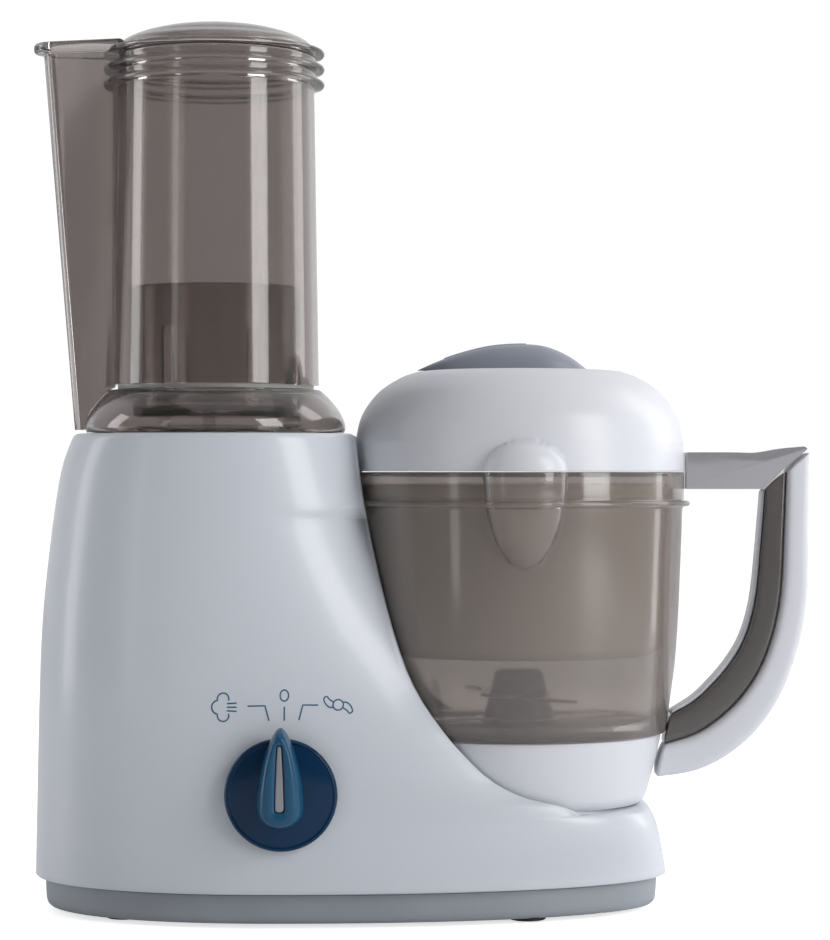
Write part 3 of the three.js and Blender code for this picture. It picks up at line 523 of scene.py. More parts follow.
def housing_ring(z, inset=0.0, floor=False):
    """The outline at one height: front, left, rear, then the platform's end or the recess."""
    middle, front, rear, left, right_front, right_rear, blunt = housing_plan(z)
    bend = 2 / blunt
    sides = []
    for half, right in ((-(front - inset), right_front), (rear - inset, right_rear)):
        line = np.stack([middle + (right - inset) * np.cos(TURN) ** bend,
                         half * np.sin(TURN) ** bend], axis=1)
        sides.append(line)
    in_recess = z > SEAT_Z or floor
    wall = recess_radius(max(z, SEAT_Z)) + inset
    tips = []
    for line in sides:
        keep = line[:, 0] <= (sweep_edge(max(z, SEAT_Z)) - 0.3 * inset)
        if in_recess:
            keep &= np.hypot(line[:, 0] - JUG_X, line[:, 1]) >= wall + 0.25
        tips.append(int(np.argmax(keep)))
    back = np.stack([middle - (left - inset) * np.sin(TURN) ** (2 / 2.2),
                     -(front - inset) * np.cos(TURN) ** (2 / 2.2)], axis=1)
    back_rear = np.stack([back[::-1, 0], (rear - inset) * np.sin(TURN) ** (2 / 2.2)], axis=1)
    front_part = evenly(sides[0][tips[0]:], 46)
    left_part = evenly(np.vstack([back, back_rear[1:]]), 70)
    rear_part = evenly(sides[1][tips[1]:][::-1], 46)
    outer = np.vstack([front_part[:-1], left_part[:-1], rear_part])
    if in_recess:
        ends = []
        for tip in (sides[1][tips[1]], sides[0][tips[0]]):
            angle = math.acos(max(-1.0, min(1.0, (tip[0] - JUG_X) / wall)))
            meet = np.array([JUG_X + wall * math.cos(angle),
                             math.copysign(wall * math.sin(angle), tip[1])])
            ends.append((tip, meet, angle))
        lips = []
        for tip, meet, _ in ends:
            half = (tip - meet) / 2
            bulge = np.array([abs(half[1]), 0.0]) * 0.9
            lips.append(np.array([(tip + meet) / 2 + half * math.cos(a) + bulge * math.sin(a)
                                  for a in np.linspace(0, math.pi, 9)]))
        sweep = np.linspace(ends[0][2], 2 * math.pi - ends[1][2], 62)[1:-1]
        arc = np.stack([JUG_X + wall * np.cos(sweep), wall * np.sin(sweep)], axis=1)
        rest = np.vstack([lips[0][1:], arc, lips[1][::-1][:-1]])
    else:
        line = np.vstack([sides[1][:tips[1] + 1][::-1], sides[0][1:tips[0] + 1]])
        rest = evenly(line, 78)[1:-1]
    points = np.vstack([outer, rest])
    return np.column_stack([points, np.full(len(points), z)]), len(outer)


def seat_rings(rings, faces, lower, upper, outer_count):
    """Joins two rings that share their outer part by one flat floor across the rest."""
    count = len(lower)
    start = len(rings) * count
    rings += [lower, upper]
    low = [start + i for i in range(outer_count - 1, count)] + [start]
    high = [start + count + i for i in range(outer_count, count)]
    faces.append(tuple(low + list(reversed(high))))


def build_housing(sizes, colours):
    wall = sizes.housing_wall / MM
    edge = sizes.edge_round / MM
    rings, floors = [], []
    rise = [(HOUSING_Z, 1.0), (12.8, 0.35), (13.3, 0.0)]
    rings += [housing_ring(z, inset)[0] for z, inset in rise]
    rings += [housing_ring(z)[0] for z in (15, 18, 22, 26, 30, 33, 35, 36.5, 37.8, 38.8, 39.5,
                                           39.9)]
    lower, outer_count = housing_ring(SEAT_Z)
    upper, _ = housing_ring(SEAT_Z, floor=True)
    upper[:outer_count] = lower[:outer_count]
    seats = [len(rings)]
    seat_rings(rings, floors, lower, upper, outer_count)
    heights = [40.7, 41.4, 42.3, 43.2, 44.2, 45.4, 46.8, 48.4, 50.4, 53, 56, 60, 64, 68, 72, 77,
               82, 88, 94, 101, 108, 116, 124, 132, 140, 146, 150.5, 152.5, 154.5, 158, 163,
               168, 173, 177.5, 180.2]
    rings += [housing_ring(z)[0] for z in heights]
    for a in np.linspace(0.25, 1, 4) * math.pi / 2:
        rings.append(housing_ring(HOUSING_TOP - edge * (1 - math.sin(a)),
                                  edge * (1 - math.cos(a)))[0])
    around = np.arctan2(rings[-1][:, 1], rings[-1][:, 0] - TOWER_X)
    for r, z in ((36.2, HOUSING_TOP), (35.4, HOUSING_TOP - 0.3), (35, HOUSING_TOP - 1),
                 (35, HOUSING_TOP - wall)):
        rings.append(np.stack([TOWER_X + r * np.cos(around), r * np.sin(around),
                               np.full(len(around), z)], axis=1))
    for z in (HOUSING_TOP - wall, 172, 160, 154.6, 150.4, 140, 120, 100, 80, 64, 52, 44, 40.2):
        rings.append(housing_ring(z, wall)[0])
    upper, _ = housing_ring(SEAT_Z - wall, wall, floor=True)
    lower, outer_count = housing_ring(SEAT_Z - wall, wall)
    upper[:outer_count] = lower[:outer_count]
    seats.append(len(rings))
    seat_rings(rings, floors, upper, lower, outer_count)
    rings += [housing_ring(z, wall)[0] for z in (30, 22, HOUSING_Z)]
    verts, faces = skin(rings, loop=True)
    count = len(rings[0])
    skipped = {(s * count + j) for s in seats for j in range(outer_count - 1, count)}
    faces = [f for f in faces if f[0] not in skipped] + floors
    obj = made("housing_shell", verts, faces, shell_plastic(colours), sharp=38)
    tidy(obj, 38)
    duct = made("peg", *skin([np.stack([np.full(40, x), 5.3 * np.cos(circle(40)),
                                        173 + 5.3 * np.sin(circle(40))], axis=1)
                              for x in (-40, -24)]))
    carved(obj, peg(8.8, 30, 45, JUG_X, 0), peg(2.5, 30, 45, JUG_X - 45.5, 0, 31),
           peg_forward(4.2, 50, 70, KNOB_X, KNOB_Z),
           peg_forward(2.9, 50, 70, KNOB_X, KNOB_Z + 12.5),
           peg_forward(5.3, -75, -50, -60, 24), duct, solver="FAST")
    soften(obj, 38)
    place(obj, "base", "shell", "housing")


def build_base_plate(sizes, colours):
    levels = [(1.2, 14), (1.2, 6.3), (1.4, 5.6), (2.0, 4.9), (3.0, 4.4), (4.4, 4.15), (8, 3.95),
              (11.9, 3.8), (12.3, 4.1), (12.3, 6.2), (5.2, 8.2), (4.5, 9.4), (4.5, 14)]
    rings = []
    for z, inset in levels:
        ring = housing_ring(HOUSING_Z, inset)[0]
        ring[:, 2] = z
        rings.append(ring)
    obj = made("base_tray", *skin(rings), plate_plastic(colours))
    half = sizes.vent_width / MM / 2
    vent = rounded([(-14, -half), (14, -half), (14, half), (-14, half)], half, 6)
    slot = made("vent", *skin([np.column_stack([vent, np.full(len(vent), z)]) for z in (-2, 5)]))
    vents = copies("vents", slot, [(-95, y, 1, 0) for y in (-18, -9, 0, 9, 18)], None)
    well = turned("well", [(0, -3), (3.6, -3), (3.6, 6), (0, 6)], None, sides=40, loop=False)
    wells = copies("screw wells", well, [(x, y, 1, 0) for x, y in SCREWS], None)
    carved(obj, vents, wells)
    place(obj, "base", "base_grey", "base_plate")


SCREWS = [(-123.5, -33.5), (-123.5, 33.5), (66, -30), (66, 30)]
FEET = [(-112, -34), (-112, 34), (40, -38), (40, 38)]


def build_feet_and_screws(sizes, colours):
    pad = turned("foot", rounded([(0, 0, 0), (6.8, 0, 0.5), (7.4, 1.7, 0.3), (2.3, 1.7, 0),
                                  (2.3, 6, 0.5),
                                  (0, 6, 0)], 0.4, closed=False), None, sides=56, loop=False)
    feet = copies("rubber_feet", pad, [(x, y, 0, 0) for x, y in FEET], rubber(colours))
    place(feet, "base", "rubber", *[f"rubber_foot_{i}" for i in range(1, 5)])
    thread = []
    for z in np.arange(9.2, 27, 1.1):
        thread += [(1.15, z), (1.4, z + 0.35), (1.15, z + 0.7)]
    screw = turned("screw", [(0, 5.4), (2.6, 5.0), (3.2, 5.6), (3.2, 7.4), (2.9, 7.7), (1.15, 7.7),
                             *thread, (1.15, 27.2), (0, 29)], None, sides=32, loop=False)
    cross = joined("cross", [block(-2, 2, -0.45, 0.45, 4, 6.2), block(-0.45, 0.45, -2, 2, 4, 6.2)])
    carved(screw, cross)
    screws = copies("case_screws", screw, [(x, y, 0, 0.4 + i) for i, (x, y) in enumerate(SCREWS)],
                    steel())
    place(screws, "base", "steel", *[f"case_screw_{i}" for i in range(1, 5)])


def build_cord_gland(sizes, colours):
    profile = [(2.2, -79, 0.3), (3.6, -79, 0.5), (3.9, -75.5), (4.4, -70, 0.4), (4.5, -69, 0.3),
               (7.5, -68.6, 0.6), (7.5, -66.4, 0.3), (5, -66.4, 0), (5, -61.5, 0),
               (7.2, -61.5, 0.3), (7.2, -59.5, 0.3), (2.2, -59.5, 0)]
    obj = facing("cord_gland_sleeve", rounded(profile, 0.3), rubber(colours), -60, 24, 64,
                 loop=True)
    ribs = [facing("rib", rounded([(3.5, h, 0.2), (4.75, h, 0.3), (4.75, h + 0.9, 0.3),
                                   (3.5, h + 0.9, 0.2)],
                                  0.3), None, -60, 24, 64, loop=True) for h in (-76.6, -74.3, -72)]
    joined("cord_gland_sleeve", [obj, *ribs])
    place(obj, "base", "rubber", "cord_gland")


# ---------- collar, boiler and bell ----------
def build_collar(sizes, colours):
    outside = spline([(50.0, 183.5), (50.7, 185.2), (50.2, 187.8), (48.6, 191.2), (46.2, 194.6),
                      (43.6, 197.5), (41.2, 199.7)], 26)
    line = [*outside, (40.8, 200), *rounded([(40.8, 200), (35, 200, 0.4), (35, 197.8, 0.4),
                                             (40, 197.6, 1.5),
                                             (44.4, 193.2, 3), (47.8, 187.6, 2), (48.2, 183.5)], 1,
                                            closed=False)]
    obj = turned("steam_collar_ring", line, bell_plastic(colours), TOWER_X, 0, 144)
    place(obj, "base", "smoked", "steam_collar")


def build_boiler(sizes, colours):
    pan = rounded([(0, 166, 0), (29, 166, 3), (34, 171, 3), (34, 184.9, 0.3), (38.5, 184.9, 0.3),
                   (38.5, 186.2, 0.3), (32.6, 186.2, 1.2), (32.6, 172, 3), (28.4, 167.6, 3),
                   (14, 167.6, 2), (12, 168.3, 2), (0, 168.3, 0)], 0.4, closed=False)
    obj = turned("boiler_pan_pressed", pan, steel(), TOWER_X, 0, 128, loop=False)
    place(obj, "base", "steel", "boiler_pan")
    tip = rounded([(0, 187, 0), (3.2, 187, 0.2), (3.2, 206, 3), (1.6, 213, 1.2), (0, 213, 0)], 1,
                  closed=False)
    obj = turned("steam_spike", tip, bell_plastic(colours), TOWER_X + 30, 0, 48, loop=False)
    place(obj, "base", "smoked", "steam_nozzle")


def build_bottle_stand(sizes, colours):
    cup = rounded([(12, 190, 0.4), (30.8, 190, 1.2), (32.4, 192, 1), (33.2, 240, 0.8),
                   (31.4, 240, 0.8), (30.8, 193, 1), (30, 192, 0.6), (12, 192, 0.4)], 0.5)
    clear = finish("light smoked plastic", (0.70, 0.665, 0.645), 0.09, grain=180, tint=0.02,
                   mottle=0.02, bump=0.01, clear=1.0, ior=1.5)
    obj = turned("bottle_holder", cup, clear, TOWER_X, 0, 96)
    line = rounded([(-2.5, -13), (2.5, -13), (2.5, 13), (-2.5, 13)], 2.4, 9)
    slot = made("slot", *skin([np.column_stack([np.full(len(line), x), line]) for x in (-45, 45)]))
    cutter = copies("slots", slot, [(TOWER_X, 0, 211, math.pi * i / 3) for i in range(3)], None)
    carved(obj, cutter, block(TOWER_X + 24, TOWER_X + 40, -5.5, 5.5, 180, 216))
    leg = turned("leg", rounded([(0, 167.9, 0), (2.4, 167.9, 0.8), (2.4, 191, 0), (0, 191, 0)], 0.5,
                                closed=False), None, 25, 0, 32, loop=False)
    legs = copies("legs", leg, [(TOWER_X, 0, 0, 0.5 + 2 * math.pi * i / 3) for i in range(3)],
                  clear)
    joined("bottle_holder", [obj, legs])
    place(obj, "stand", "smoked", "bottle_stand")


def tube_radius(z):
    return lerp(40.2, 38.4, (z - 202) / 115.5)


def collar_height(r):
    """Height of the bell's lower edge over the collar, at a distance from its axis."""
    return float(np.interp(r, [40.4, 43.5, 46.2, 48.6, 50.2, 50.9],
                           [201.2, 198.6, 195.8, 192.6, 189.2, 184.6]))


def channel_line(z):
    """The pouring channel's outside at one height, from the tube round the nose and back."""
    t = (z - 183) / 150.5
    tip = -134.8 - 12.4 * t
    half = lerp(5, 19, t)
    nose = lerp(2.6, 7, t)
    centre = tip + nose
    slope = 0.0
    for _ in range(6):
        slope = math.atan2(half - nose * math.cos(slope), -100 - centre + nose * math.sin(slope))
    arc = np.linspace(math.pi / 2 + slope, 3 * math.pi / 2 - slope, 21)
    nose_part = np.stack([centre + nose * np.cos(arc), nose * np.sin(arc)], axis=1)
    start, way = nose_part[0], np.array([math.cos(slope), math.sin(slope)])
    from_axis = start - np.array([TOWER_X, 0])
    near = from_axis @ way
    far = from_axis @ from_axis - (tube_radius(z) - 0.3) ** 2
    run = -near - math.sqrt(max(0.0, near * near - far))
    side = start + way * np.linspace(run, 0, 13)[:, None]
    mirror = side[::-1] * np.array([1, -1])
    return np.vstack([side[:-1], nose_part, mirror[1:]])


def build_bell(sizes, colours):
    wall = sizes.bell_wall / MM
    rim = sizes.rim_spread / MM
    outside = [(40.2, 202, 0.5), (38.45, 317.2, 0.8)]
    for z in (318.2, 324.2, 330.2):
        outside += [(38.5, z - 0.7, 0.7), (rim - 0.5, z - 0.1, 0.6), (rim, z + 0.9, 0.7),
                    (rim - 0.5, z + 1.9, 0.6), (38.5, z + 2.5, 0.7)]
    outside = [p for p in outside if p[1] < 332.4] + [(38.1, 332.6, 1)]
    dome = spline([(38.0, 333.4), (35.8, 335.6), (31, 337.9), (24, 340), (16, 341.5), (8, 342.4),
                   (0, 342.7)], 30)
    ceiling = spline([(0, 340.4), (8, 340.1), (16, 339.2), (24, 337.7), (31, 335.6), (34.6, 333.6),
                      (36.1, 331)], 26)
    line = np.vstack([rounded(outside, 0.5, 5, closed=False), dome, ceiling,
                      rounded([(36.2, 329), (40.2 - wall, 204, 0.5), (40.2 - wall, 202, 0.3)], 0.4,
                              closed=False)])
    tube = turned("steam_bell_cover", line, bell_plastic(colours), TOWER_X, 0, 160)
    tops = rounded([(0, 329.9), (0, 330.5, 0.5), (3.8, 330.9, 1.8), (3.8, 334.9, 1.9),
                    (-wall, 334.9, 1.2), (-wall, 330)], 0.5, 6, closed=False)[1:-1]
    columns = len(channel_line(250))
    heights = [*np.linspace(0, 0.9, 24), 0.93, 0.95, 0.965, 0.98, 0.99, 1.0]
    top_z = 329.6
    outer = np.zeros((len(heights) + len(tops) + len(heights), columns, 3))
    feet = np.full(columns, 184.6)
    for _ in range(25):
        for j in range(columns):
            x, y = channel_line(feet[j])[j]
            feet[j] = 0.5 * feet[j] + 0.5 * collar_height(math.hypot(x - TOWER_X, y))

    def outward(z):
        points = channel_line(z)
        along = np.gradient(points, axis=0)
        normal = np.stack([-along[:, 1], along[:, 0]], axis=1)
        normal /= np.linalg.norm(normal, axis=1)[:, None]
        middle = np.array([TOWER_X - 20, 0])
        flip = np.sign(((points - middle) * normal).sum(axis=1))
        return points, normal * flip[:, None]

    row = 0
    for h in heights:
        for j in range(columns):
            z = feet[j] + (top_z - feet[j]) * h
            outer[row, j] = (*channel_line(z)[j], z)
        row += 1
    for off, z in tops:
        points, normal = outward(331.5)
        outer[row] = np.column_stack([points + normal * off, np.full(columns, z)])
        row += 1
    for h in reversed(heights):
        for j in range(columns):
            z = feet[j] + (top_z - feet[j]) * h
            points, normal = outward(z)
            join = math.exp(-((min(j, columns - 1 - j) / 3.2) ** 2)) * 2.6
            outer[row, j] = (*(points[j] - normal[j] * (wall + join)), z)
        row += 1
    sections = [outer[:, j, :] for j in range(columns)]
    channel = made("channel", *skin(sections), bell_plastic(colours), sharp=50)
    obj = joined("steam_bell_cover", [tube, channel])
    soften(obj, 45)
    place(obj, "bell", "smoked", "steam_bell")


# ---------- jug ----------
FRONT_TURNS = np.concatenate([np.sin(np.linspace(-1, 1, 101) * math.pi / 2) * 0.262,
                              np.linspace(0.262, 2 * math.pi - 0.262, 115)[1:-1]])


def bump_out(turn, r, z, z0, half, reach, height):
    """How far the spout's egg stands out of a wall at one angle and height."""
    share = 1 - ((z - z0) / height) ** 2
    aside = r * math.sin(turn)
    if share <= 0 or math.cos(turn) < 0:
        return 0.0
    wide = half * math.sqrt(share)
    inside = 1 - (aside / wide) ** 2
    return reach * share ** 0.5 * inside ** 0.62 if inside > 0 else 0.0


def with_bump(profile, z0, height, sizes):
    """Rings of a turned profile that swell out to the egg at the front; each point says which
    of the two sizes (half width, reach) it takes, or none."""
    rings = []
    for r, z, kind in profile:
        out = [r + (bump_out(t, r, z, z0, *sizes[kind], height) if kind is not None else 0)
               for t in FRONT_TURNS]
        rings.append(np.array([(JUG_X + o * math.sin(t), -o * math.cos(t), z)
                               for o, t in zip(out, FRONT_TURNS)]))
    return rings


def build_jug(sizes, colours):
    outer = rounded([(50.9, 62, 0.4), (51.9, 67.7, 0), (57, 67.7, 0.6), (58.5, 78, 6),
                     (60.8, 95, 8), (62, 114, 8),
                     (63.6, 154.7, 0.4), (66.2, 155.3, 0.5), (66.5, 156.2, 0.4), (66.2, 157.0, 0.5),
                     (64.1, 157.5, 0.4), (64.2, 168.2, 0.7)], 1, closed=False)[:-1]
    outer = np.vstack([outer, evenly([(64.15, 160), (64.2, 167.5)], 6),
                       [(64.1, 168.0), (63.6, 168.2)]])
    order = np.argsort(outer[:, 1], kind="stable")
    outer = outer[order]
    dense = []
    for a, b in zip(outer, outer[1:]):
        steps = max(1, int(abs(b[1] - a[1]) / (0.9 if b[1] > 131 else 2.5)))
        dense += [a + (b - a) * i / steps for i in range(steps)]
    outer = np.array(dense + [outer[-1]])
    inner = spline([(62.2, 168.2), (61.7, 167.6), (61.6, 160), (61.2, 152), (60.3, 132),
                    (59.5, 114),
                    (58.3, 95), (55.9, 78), (53, 71.5), (49.5, 67.5), (45.5, 65.4), (40, 65)], 110)
    boss = rounded([(40, 65), (10.6, 65, 1.5), (10, 76, 0.6), (7.3, 76, 0.4), (7.3, 62, 0.3),
                    (50.9, 62)], 0.5, closed=False)
    profile = [(r, z, 0) for r, z in outer] + [(r, z, 1) for r, z in inner]
    profile += [(r, z, None) for r, z in boss[1:-1]]
    rings = with_bump(profile, JUG_RIM_Z, 35.5, ((15.6, 8.3), (13.8, 8.4)))
    obj = made("jug_bowl_smoked", *skin(rings, loop=True, ends=False), jug_plastic(colours),
               sharp=48)
    place(obj, "jug", "smoked", "jug_bowl")
    foot = rounded([(44.6, 40.6, 0.4), (47.2, 40.6, 0.8), (49.3, 43.2, 2), (53.9, 60, 6),
                    (55.3, 67.4, 0.7),
                    (52.5, 67.4, 0.4), (51.4, 60, 4), (47.6, 45, 2), (44.6, 43.4, 0.6)], 1, 7)
    obj = turned("jug_foot_ring", foot, white_plastic(colours), JUG_X, 0, 144)
    place(obj, "jug", "white", "jug_foot")


HANDLE_OUT = [(150.9, 177), (150.5, 150), (149.8, 119), (144.7, 95), (136, 76), (123.6, 62),
              (108, 53), (90.4, 49.8)]
HANDLE_IN = [(132.4, 161), (130.6, 140), (128.3, 119), (124.4, 105), (118.6, 95), (111.8, 87),
             (105.5, 81), (97.0, 75.6)]


def strap(name, near, far, half, radius, material, start=0.0, end=1.0, cap=5.0, crown=0.0):
    """A rounded bar along the handle between two shares of its thickness."""
    fine = np.linspace(0, 1, 141)
    lines = [spline(points, 400) for points in (HANDLE_IN, HANDLE_OUT)]
    inner = np.stack([np.interp(fine, np.linspace(0, 1, 400), lines[0][:, k]) for k in (0, 1)],
                     axis=1)
    outer = np.stack([np.interp(fine, np.linspace(0, 1, 400), lines[1][:, k]) for k in (0, 1)],
                     axis=1)
    a, b = inner + (outer - inner) * near, inner + (outer - inner) * far
    middle = (a + b) / 2
    steps = np.concatenate([[0], np.cumsum(np.linalg.norm(np.diff(middle, axis=0), axis=1))])
    total = steps[-1]
    low, high = total * start, total * end
    places = sorted({*np.linspace(low, high, 70),
                     *(low + cap * (1 - math.cos(t)) for t in np.linspace(0, math.pi / 2, 9)),
                     *(high - cap * (1 - math.cos(t)) for t in np.linspace(0, math.pi / 2, 9))})
    rings = []
    for s in places:
        p = np.array([np.interp(s, steps, a[:, k]) for k in (0, 1)])
        q = np.array([np.interp(s, steps, b[:, k]) for k in (0, 1)])
        edge = min(s - low, high - s) / cap
        swell = math.sqrt(max(0.0, 1 - (1 - min(1.0, edge)) ** 2)) if cap else 1.0
        swell = max(swell, 0.02)
        thick = np.linalg.norm(q - p) / 2
        hub, way = (p + q) / 2, (q - p) / (2 * thick)
        r = min(radius, thick * 0.98)
        section = rounded([(-thick, -half, r), (thick, -half, r), (thick + crown, 0, half * 0.8),
                           (thick, half, r), (-thick, half, r)], r, 6) if crown else rounded(
            [(-thick, -half, r), (thick, -half, r), (thick, half, r), (-thick, half, r)], r, 6)
        shift = 1.0 if cap == 0 else swell
        ring = [(*(hub + way * u * shift), v * (0.55 + 0.45 * shift)) for u, v in section]
        rings.append(np.array([(x, y, z) for x, z, y in ring]))
    return made(name, *skin(rings), material, sharp=40)


def build_handle(sizes, colours):
    half = sizes.handle_half / MM
    white = white_plastic(colours)
    cover = strap("handle_cover_white", 0.51, 1.0, half, 3.6, white, cap=1.4)
    place(cover, "jug", "white", "handle_cover")
    # Part real liner, part painted highlight: the thin white strip at the core's inner edge also stands in
    # for the light caught along that edge.
    liner = strap("handle_liner_white", 0.0, 0.06, half - 4, 0.5, white, cap=0.8)
    place(liner, "jug", "white", "handle_liner")
    deep = finish("deep smoked plastic", (0.14, 0.125, 0.12), 0.16, grain=300, tint=0.03,
                  mottle=0.03, bump=0.01, clear=0.6, ior=1.5, coat=0.4)
    core = strap("handle_core_smoked", 0.075, 0.49, half - 1.6, 1.6, deep, cap=0.6)
    outline = rounded([(102.9, 161.6, 0.8), (132.2, 161.6, 0.5), (141.4, 170.0, 0.5),
                       (149.9, 177.2, 0.4),
                       (148.6, 178.2, 0.6), (139.6, 177.4, 3), (130, 175.6, 8), (122, 175.9, 8),
                       (102.9, 175.9, 0.8)], 0.8)
    grey = finish("smoked bridge plastic", (0.47, 0.46, 0.48), 0.14, grain=300, tint=0.02,
                  mottle=0.02, bump=0.01, clear=0.8, ior=1.5)
    bridge = slab("bridge", outline, -7.6, 7.6, grey)
    bevelled(bridge, 0.9, 3, 50)
    obj = joined("handle_core_smoked", [core, bridge])
    place(obj, "jug", "smoked", "handle_core")


# ---------- blades and basket ----------
def build_blades(sizes, colours):
    hub = rounded([(10.4, 65.4, 0.3), (15, 65.4, 0.8), (12.4, 77.5, 0), (9.4, 90, 1.4),
                   (8, 91.4, 1), (0, 91.8, 0),
                   (0, 88.4, 0), (3.4, 88.4, 0), (3.4, 76.2, 0), (10.4, 76.2, 0)], 0.5)
    obj = turned("blade_hub_cone", hub, dark_plastic(), JUG_X, 0, 72)
    place(obj, "blades", "dark_plastic", "blade_hub")
    for name, z, turn, bore in (("lower_blade", 69, 0.3, 14.6),
                                ("upper_blade", 81, 0.3 + math.pi / 2, 11.9)):
        place(blade(name + "_ground", z, turn, bore), "blades", "steel", name)


def blade(name, z, turn, bore):
    """A ring with two wings that sweep back to a point, each ground thin along its front edge."""
    fine = np.linspace(0, 0.985, 240)
    edges = []
    for root, middle in ((-7, (34, -9)), (8, (26, 2))):
        line = np.array([bezier((4, root), middle, (44, 8), t) for t in fine])
        edges.append(evenly(line[np.hypot(*line.T) >= bore + 1.6], 28))
    objects = [turned(name, rounded([(bore, 0, 0.1), (bore + 3, 0, 0.2), (bore + 3, 1.4, 0.2),
                                     (bore, 1.4, 0.1)], 0.15), steel(), 0, 0, 72)]
    for side in (1, -1):
        rings = []
        for f, r in zip(*edges):
            ground = f + (r - f) * 0.3
            ring = np.array([(*f, 0.05), (*r, 0.05), (*r, 1.35), (*ground, 1.35), (*f, 0.35)])
            rings.append(ring * np.array([side, side, 1]))
        objects.append(made("wing", *skin(rings), None, sharp=20))
    obj = joined(name, objects)
    spin = np.array([[math.cos(turn), -math.sin(turn), 0], [math.sin(turn), math.cos(turn), 0],
                     [0, 0, 1]])
    points = np.zeros(len(obj.data.vertices) * 3)
    obj.data.vertices.foreach_get("co", points)
    points = points.reshape(-1, 3) @ spin.T + np.array([JUG_X, 0, z]) * MM
    obj.data.vertices.foreach_set("co", points.ravel())
    obj.data.update()
    soften(obj, 20)
    return obj


def bezier(a, b, c, t):
    return tuple((1 - t) ** 2 * p + 2 * t * (1 - t) * q + t * t * r for p, q, r in zip(a, b, c))


def build_basket(sizes, colours):
    cup = rounded([(0, 98, 0), (52.6, 98, 1.5), (55.6, 101, 1.5), (57.2, 114, 4), (58.4, 157, 0.8),
                   (60.8, 159, 0.8),
                   (60.8, 163.6, 0.6), (58.6, 163.6, 0.6), (56.4, 157.4, 1.5), (55.2, 114, 4),
                   (53, 100, 1.5), (0, 100, 0)], 0.6, closed=False)
    cream = finish("cream moulded plastic", colours.cream, 0.4, grain=1300, tint=0.01, mottle=0.02,
                   bump=0.008)
    obj = turned("steam_basket_cup", cup, cream, JUG_X, 0, 192, loop=False)
    wide = sizes.hole_radius / MM
    hole = turned("hole", [(0, 94), (wide, 94), (wide, 104), (0, 104)], None, sides=20, loop=False)
    spots = []
    for r, count in ((11, 6), (21, 12), (31, 18), (41, 24)):
        spots += [(JUG_X + r * math.cos(2 * math.pi * i / count),
                   r * math.sin(2 * math.pi * i / count), 0, 0)
                  for i in range(count)]
    holes = copies("holes", hole, spots, None)
    carved(obj, holes)
    place(obj, "basket", "cream", "steam_basket")


# ---------- lid ----------
GRIP_TOP = spline([(-1.5, 207.8), (5, 210.7), (14, 214), (26, 217), (38, 218), (48, 217.2),
                   (57, 213.6), (65.2, 207.8)], 200)
GRIP_SIDE = spline([(-1.5, 0.6), (4, 4.6), (12, 9.6), (24, 13.2), (40, 14.9), (52, 13.6), (61, 8.6),
                    (65.2, 0.6)], 200)


def grip_height(x):
    return float(np.interp(x, GRIP_TOP[:, 0], GRIP_TOP[:, 1]))


def grip_surface(x, y):
    half = float(np.interp(x, GRIP_SIDE[:, 0], GRIP_SIDE[:, 1]))
    return 207.8 + (grip_height(x) - 207.8) * max(0.0, 1 - abs(y / half) ** 2.6) ** (1 / 2.6)


def build_lid(sizes, colours):
    white = white_plastic(colours)
    outside = np.vstack([rounded([(62.6, 168.5, 0.2), (64.2, 168.6, 0.5), (64.15, 169.4)], 0.5,
                                 closed=False),
                         evenly([(64.15, 169.6), (64.1, 172.6)], 5)])
    dome = np.vstack([evenly([(64.1, 173), (63.9, 180)], 9)[:-1],
                      spline([(63.9, 180), (61.2, 190.2), (54.9, 199), (46.5, 204.7), (40, 207.1)],
                             24)])
    top = np.array([(36, 207.5), (20, 207.55), (0, 207.6)])
    ceiling = spline([(0, 205.4), (20, 205.3), (38, 205), (46, 202.1), (52.6, 197.2), (58.9, 189.2),
                      (61.4, 179.6), (61.7, 173), (61.8, 168.9)], 36)
    profile = [(r, z, 0 if z < 182 else None) for r, z in np.vstack([outside, dome])]
    profile += [(r, z, None) for r, z in top] + [(r, z, 1 if z < 182 else None) for r, z in ceiling]
    rings = with_bump(profile, 168.5, 11.2, ((15.4, 8.2), (13.4, 8.2)))
    obj = made("lid_dome", *skin(rings, loop=True, ends=False), white, sharp=40)
    carved(obj, block(JUG_X - 70, JUG_X - 58, -5, 5, 171.8, 177))
    soften(obj, 40)
    place(obj, "lid", "white", "lid")
    rings = []
    for x in (-1.5 + (66.7) * (1 - math.cos(math.pi * i / 60)) / 2 for i in range(61)):
        half = max(0.3, float(np.interp(x, GRIP_SIDE[:, 0], GRIP_SIDE[:, 1])))
        ring = [(x, half * math.cos(a) * 0.999, grip_surface(x, half * math.cos(a) * 0.999))
                for a in np.linspace(0, math.pi, 33)]
        ring += [(x, -half, 207.75), (x, half, 207.75)]
        rings.append(np.array(ring))
    grip = finish("soft grey grip", colours.grip, 0.4, grain=1800, tint=0.03, bump=0.1)
    obj = made("lid_grip_arch", *skin(rings), grip, sharp=50)
    place(obj, "lid", "grip_grey", "lid_grip")
    rings = []
    for x in np.linspace(9, 41, 40):
        share = (x - 9) / 32
        half = 5.2 * math.sqrt(max(0.02, 1 - (2 * share - 1) ** 2)) ** 0.5
        ring = []
        for v in np.linspace(-1, 1, 13):
            y = half * v
            ring.append((x, y, grip_surface(x, y) + 0.35 * (1 - v ** 4)))
        ring += [(x, half * 0.9, grip_surface(x, half) - 0.7),
                 (x, -half * 0.9, grip_surface(x, half) - 0.7)]
        rings.append(np.array(ring))
    blue = finish("blue moulded plastic", colours.pointer, 0.2, grain=1200, tint=0.04, bump=0.03,
                     ior=1.35, coat=0.15)
    obj = made("lid_grip_inlay", *skin(rings), blue, sharp=40)
    place(obj, "lid", "pointer_blue", "grip_inlay")


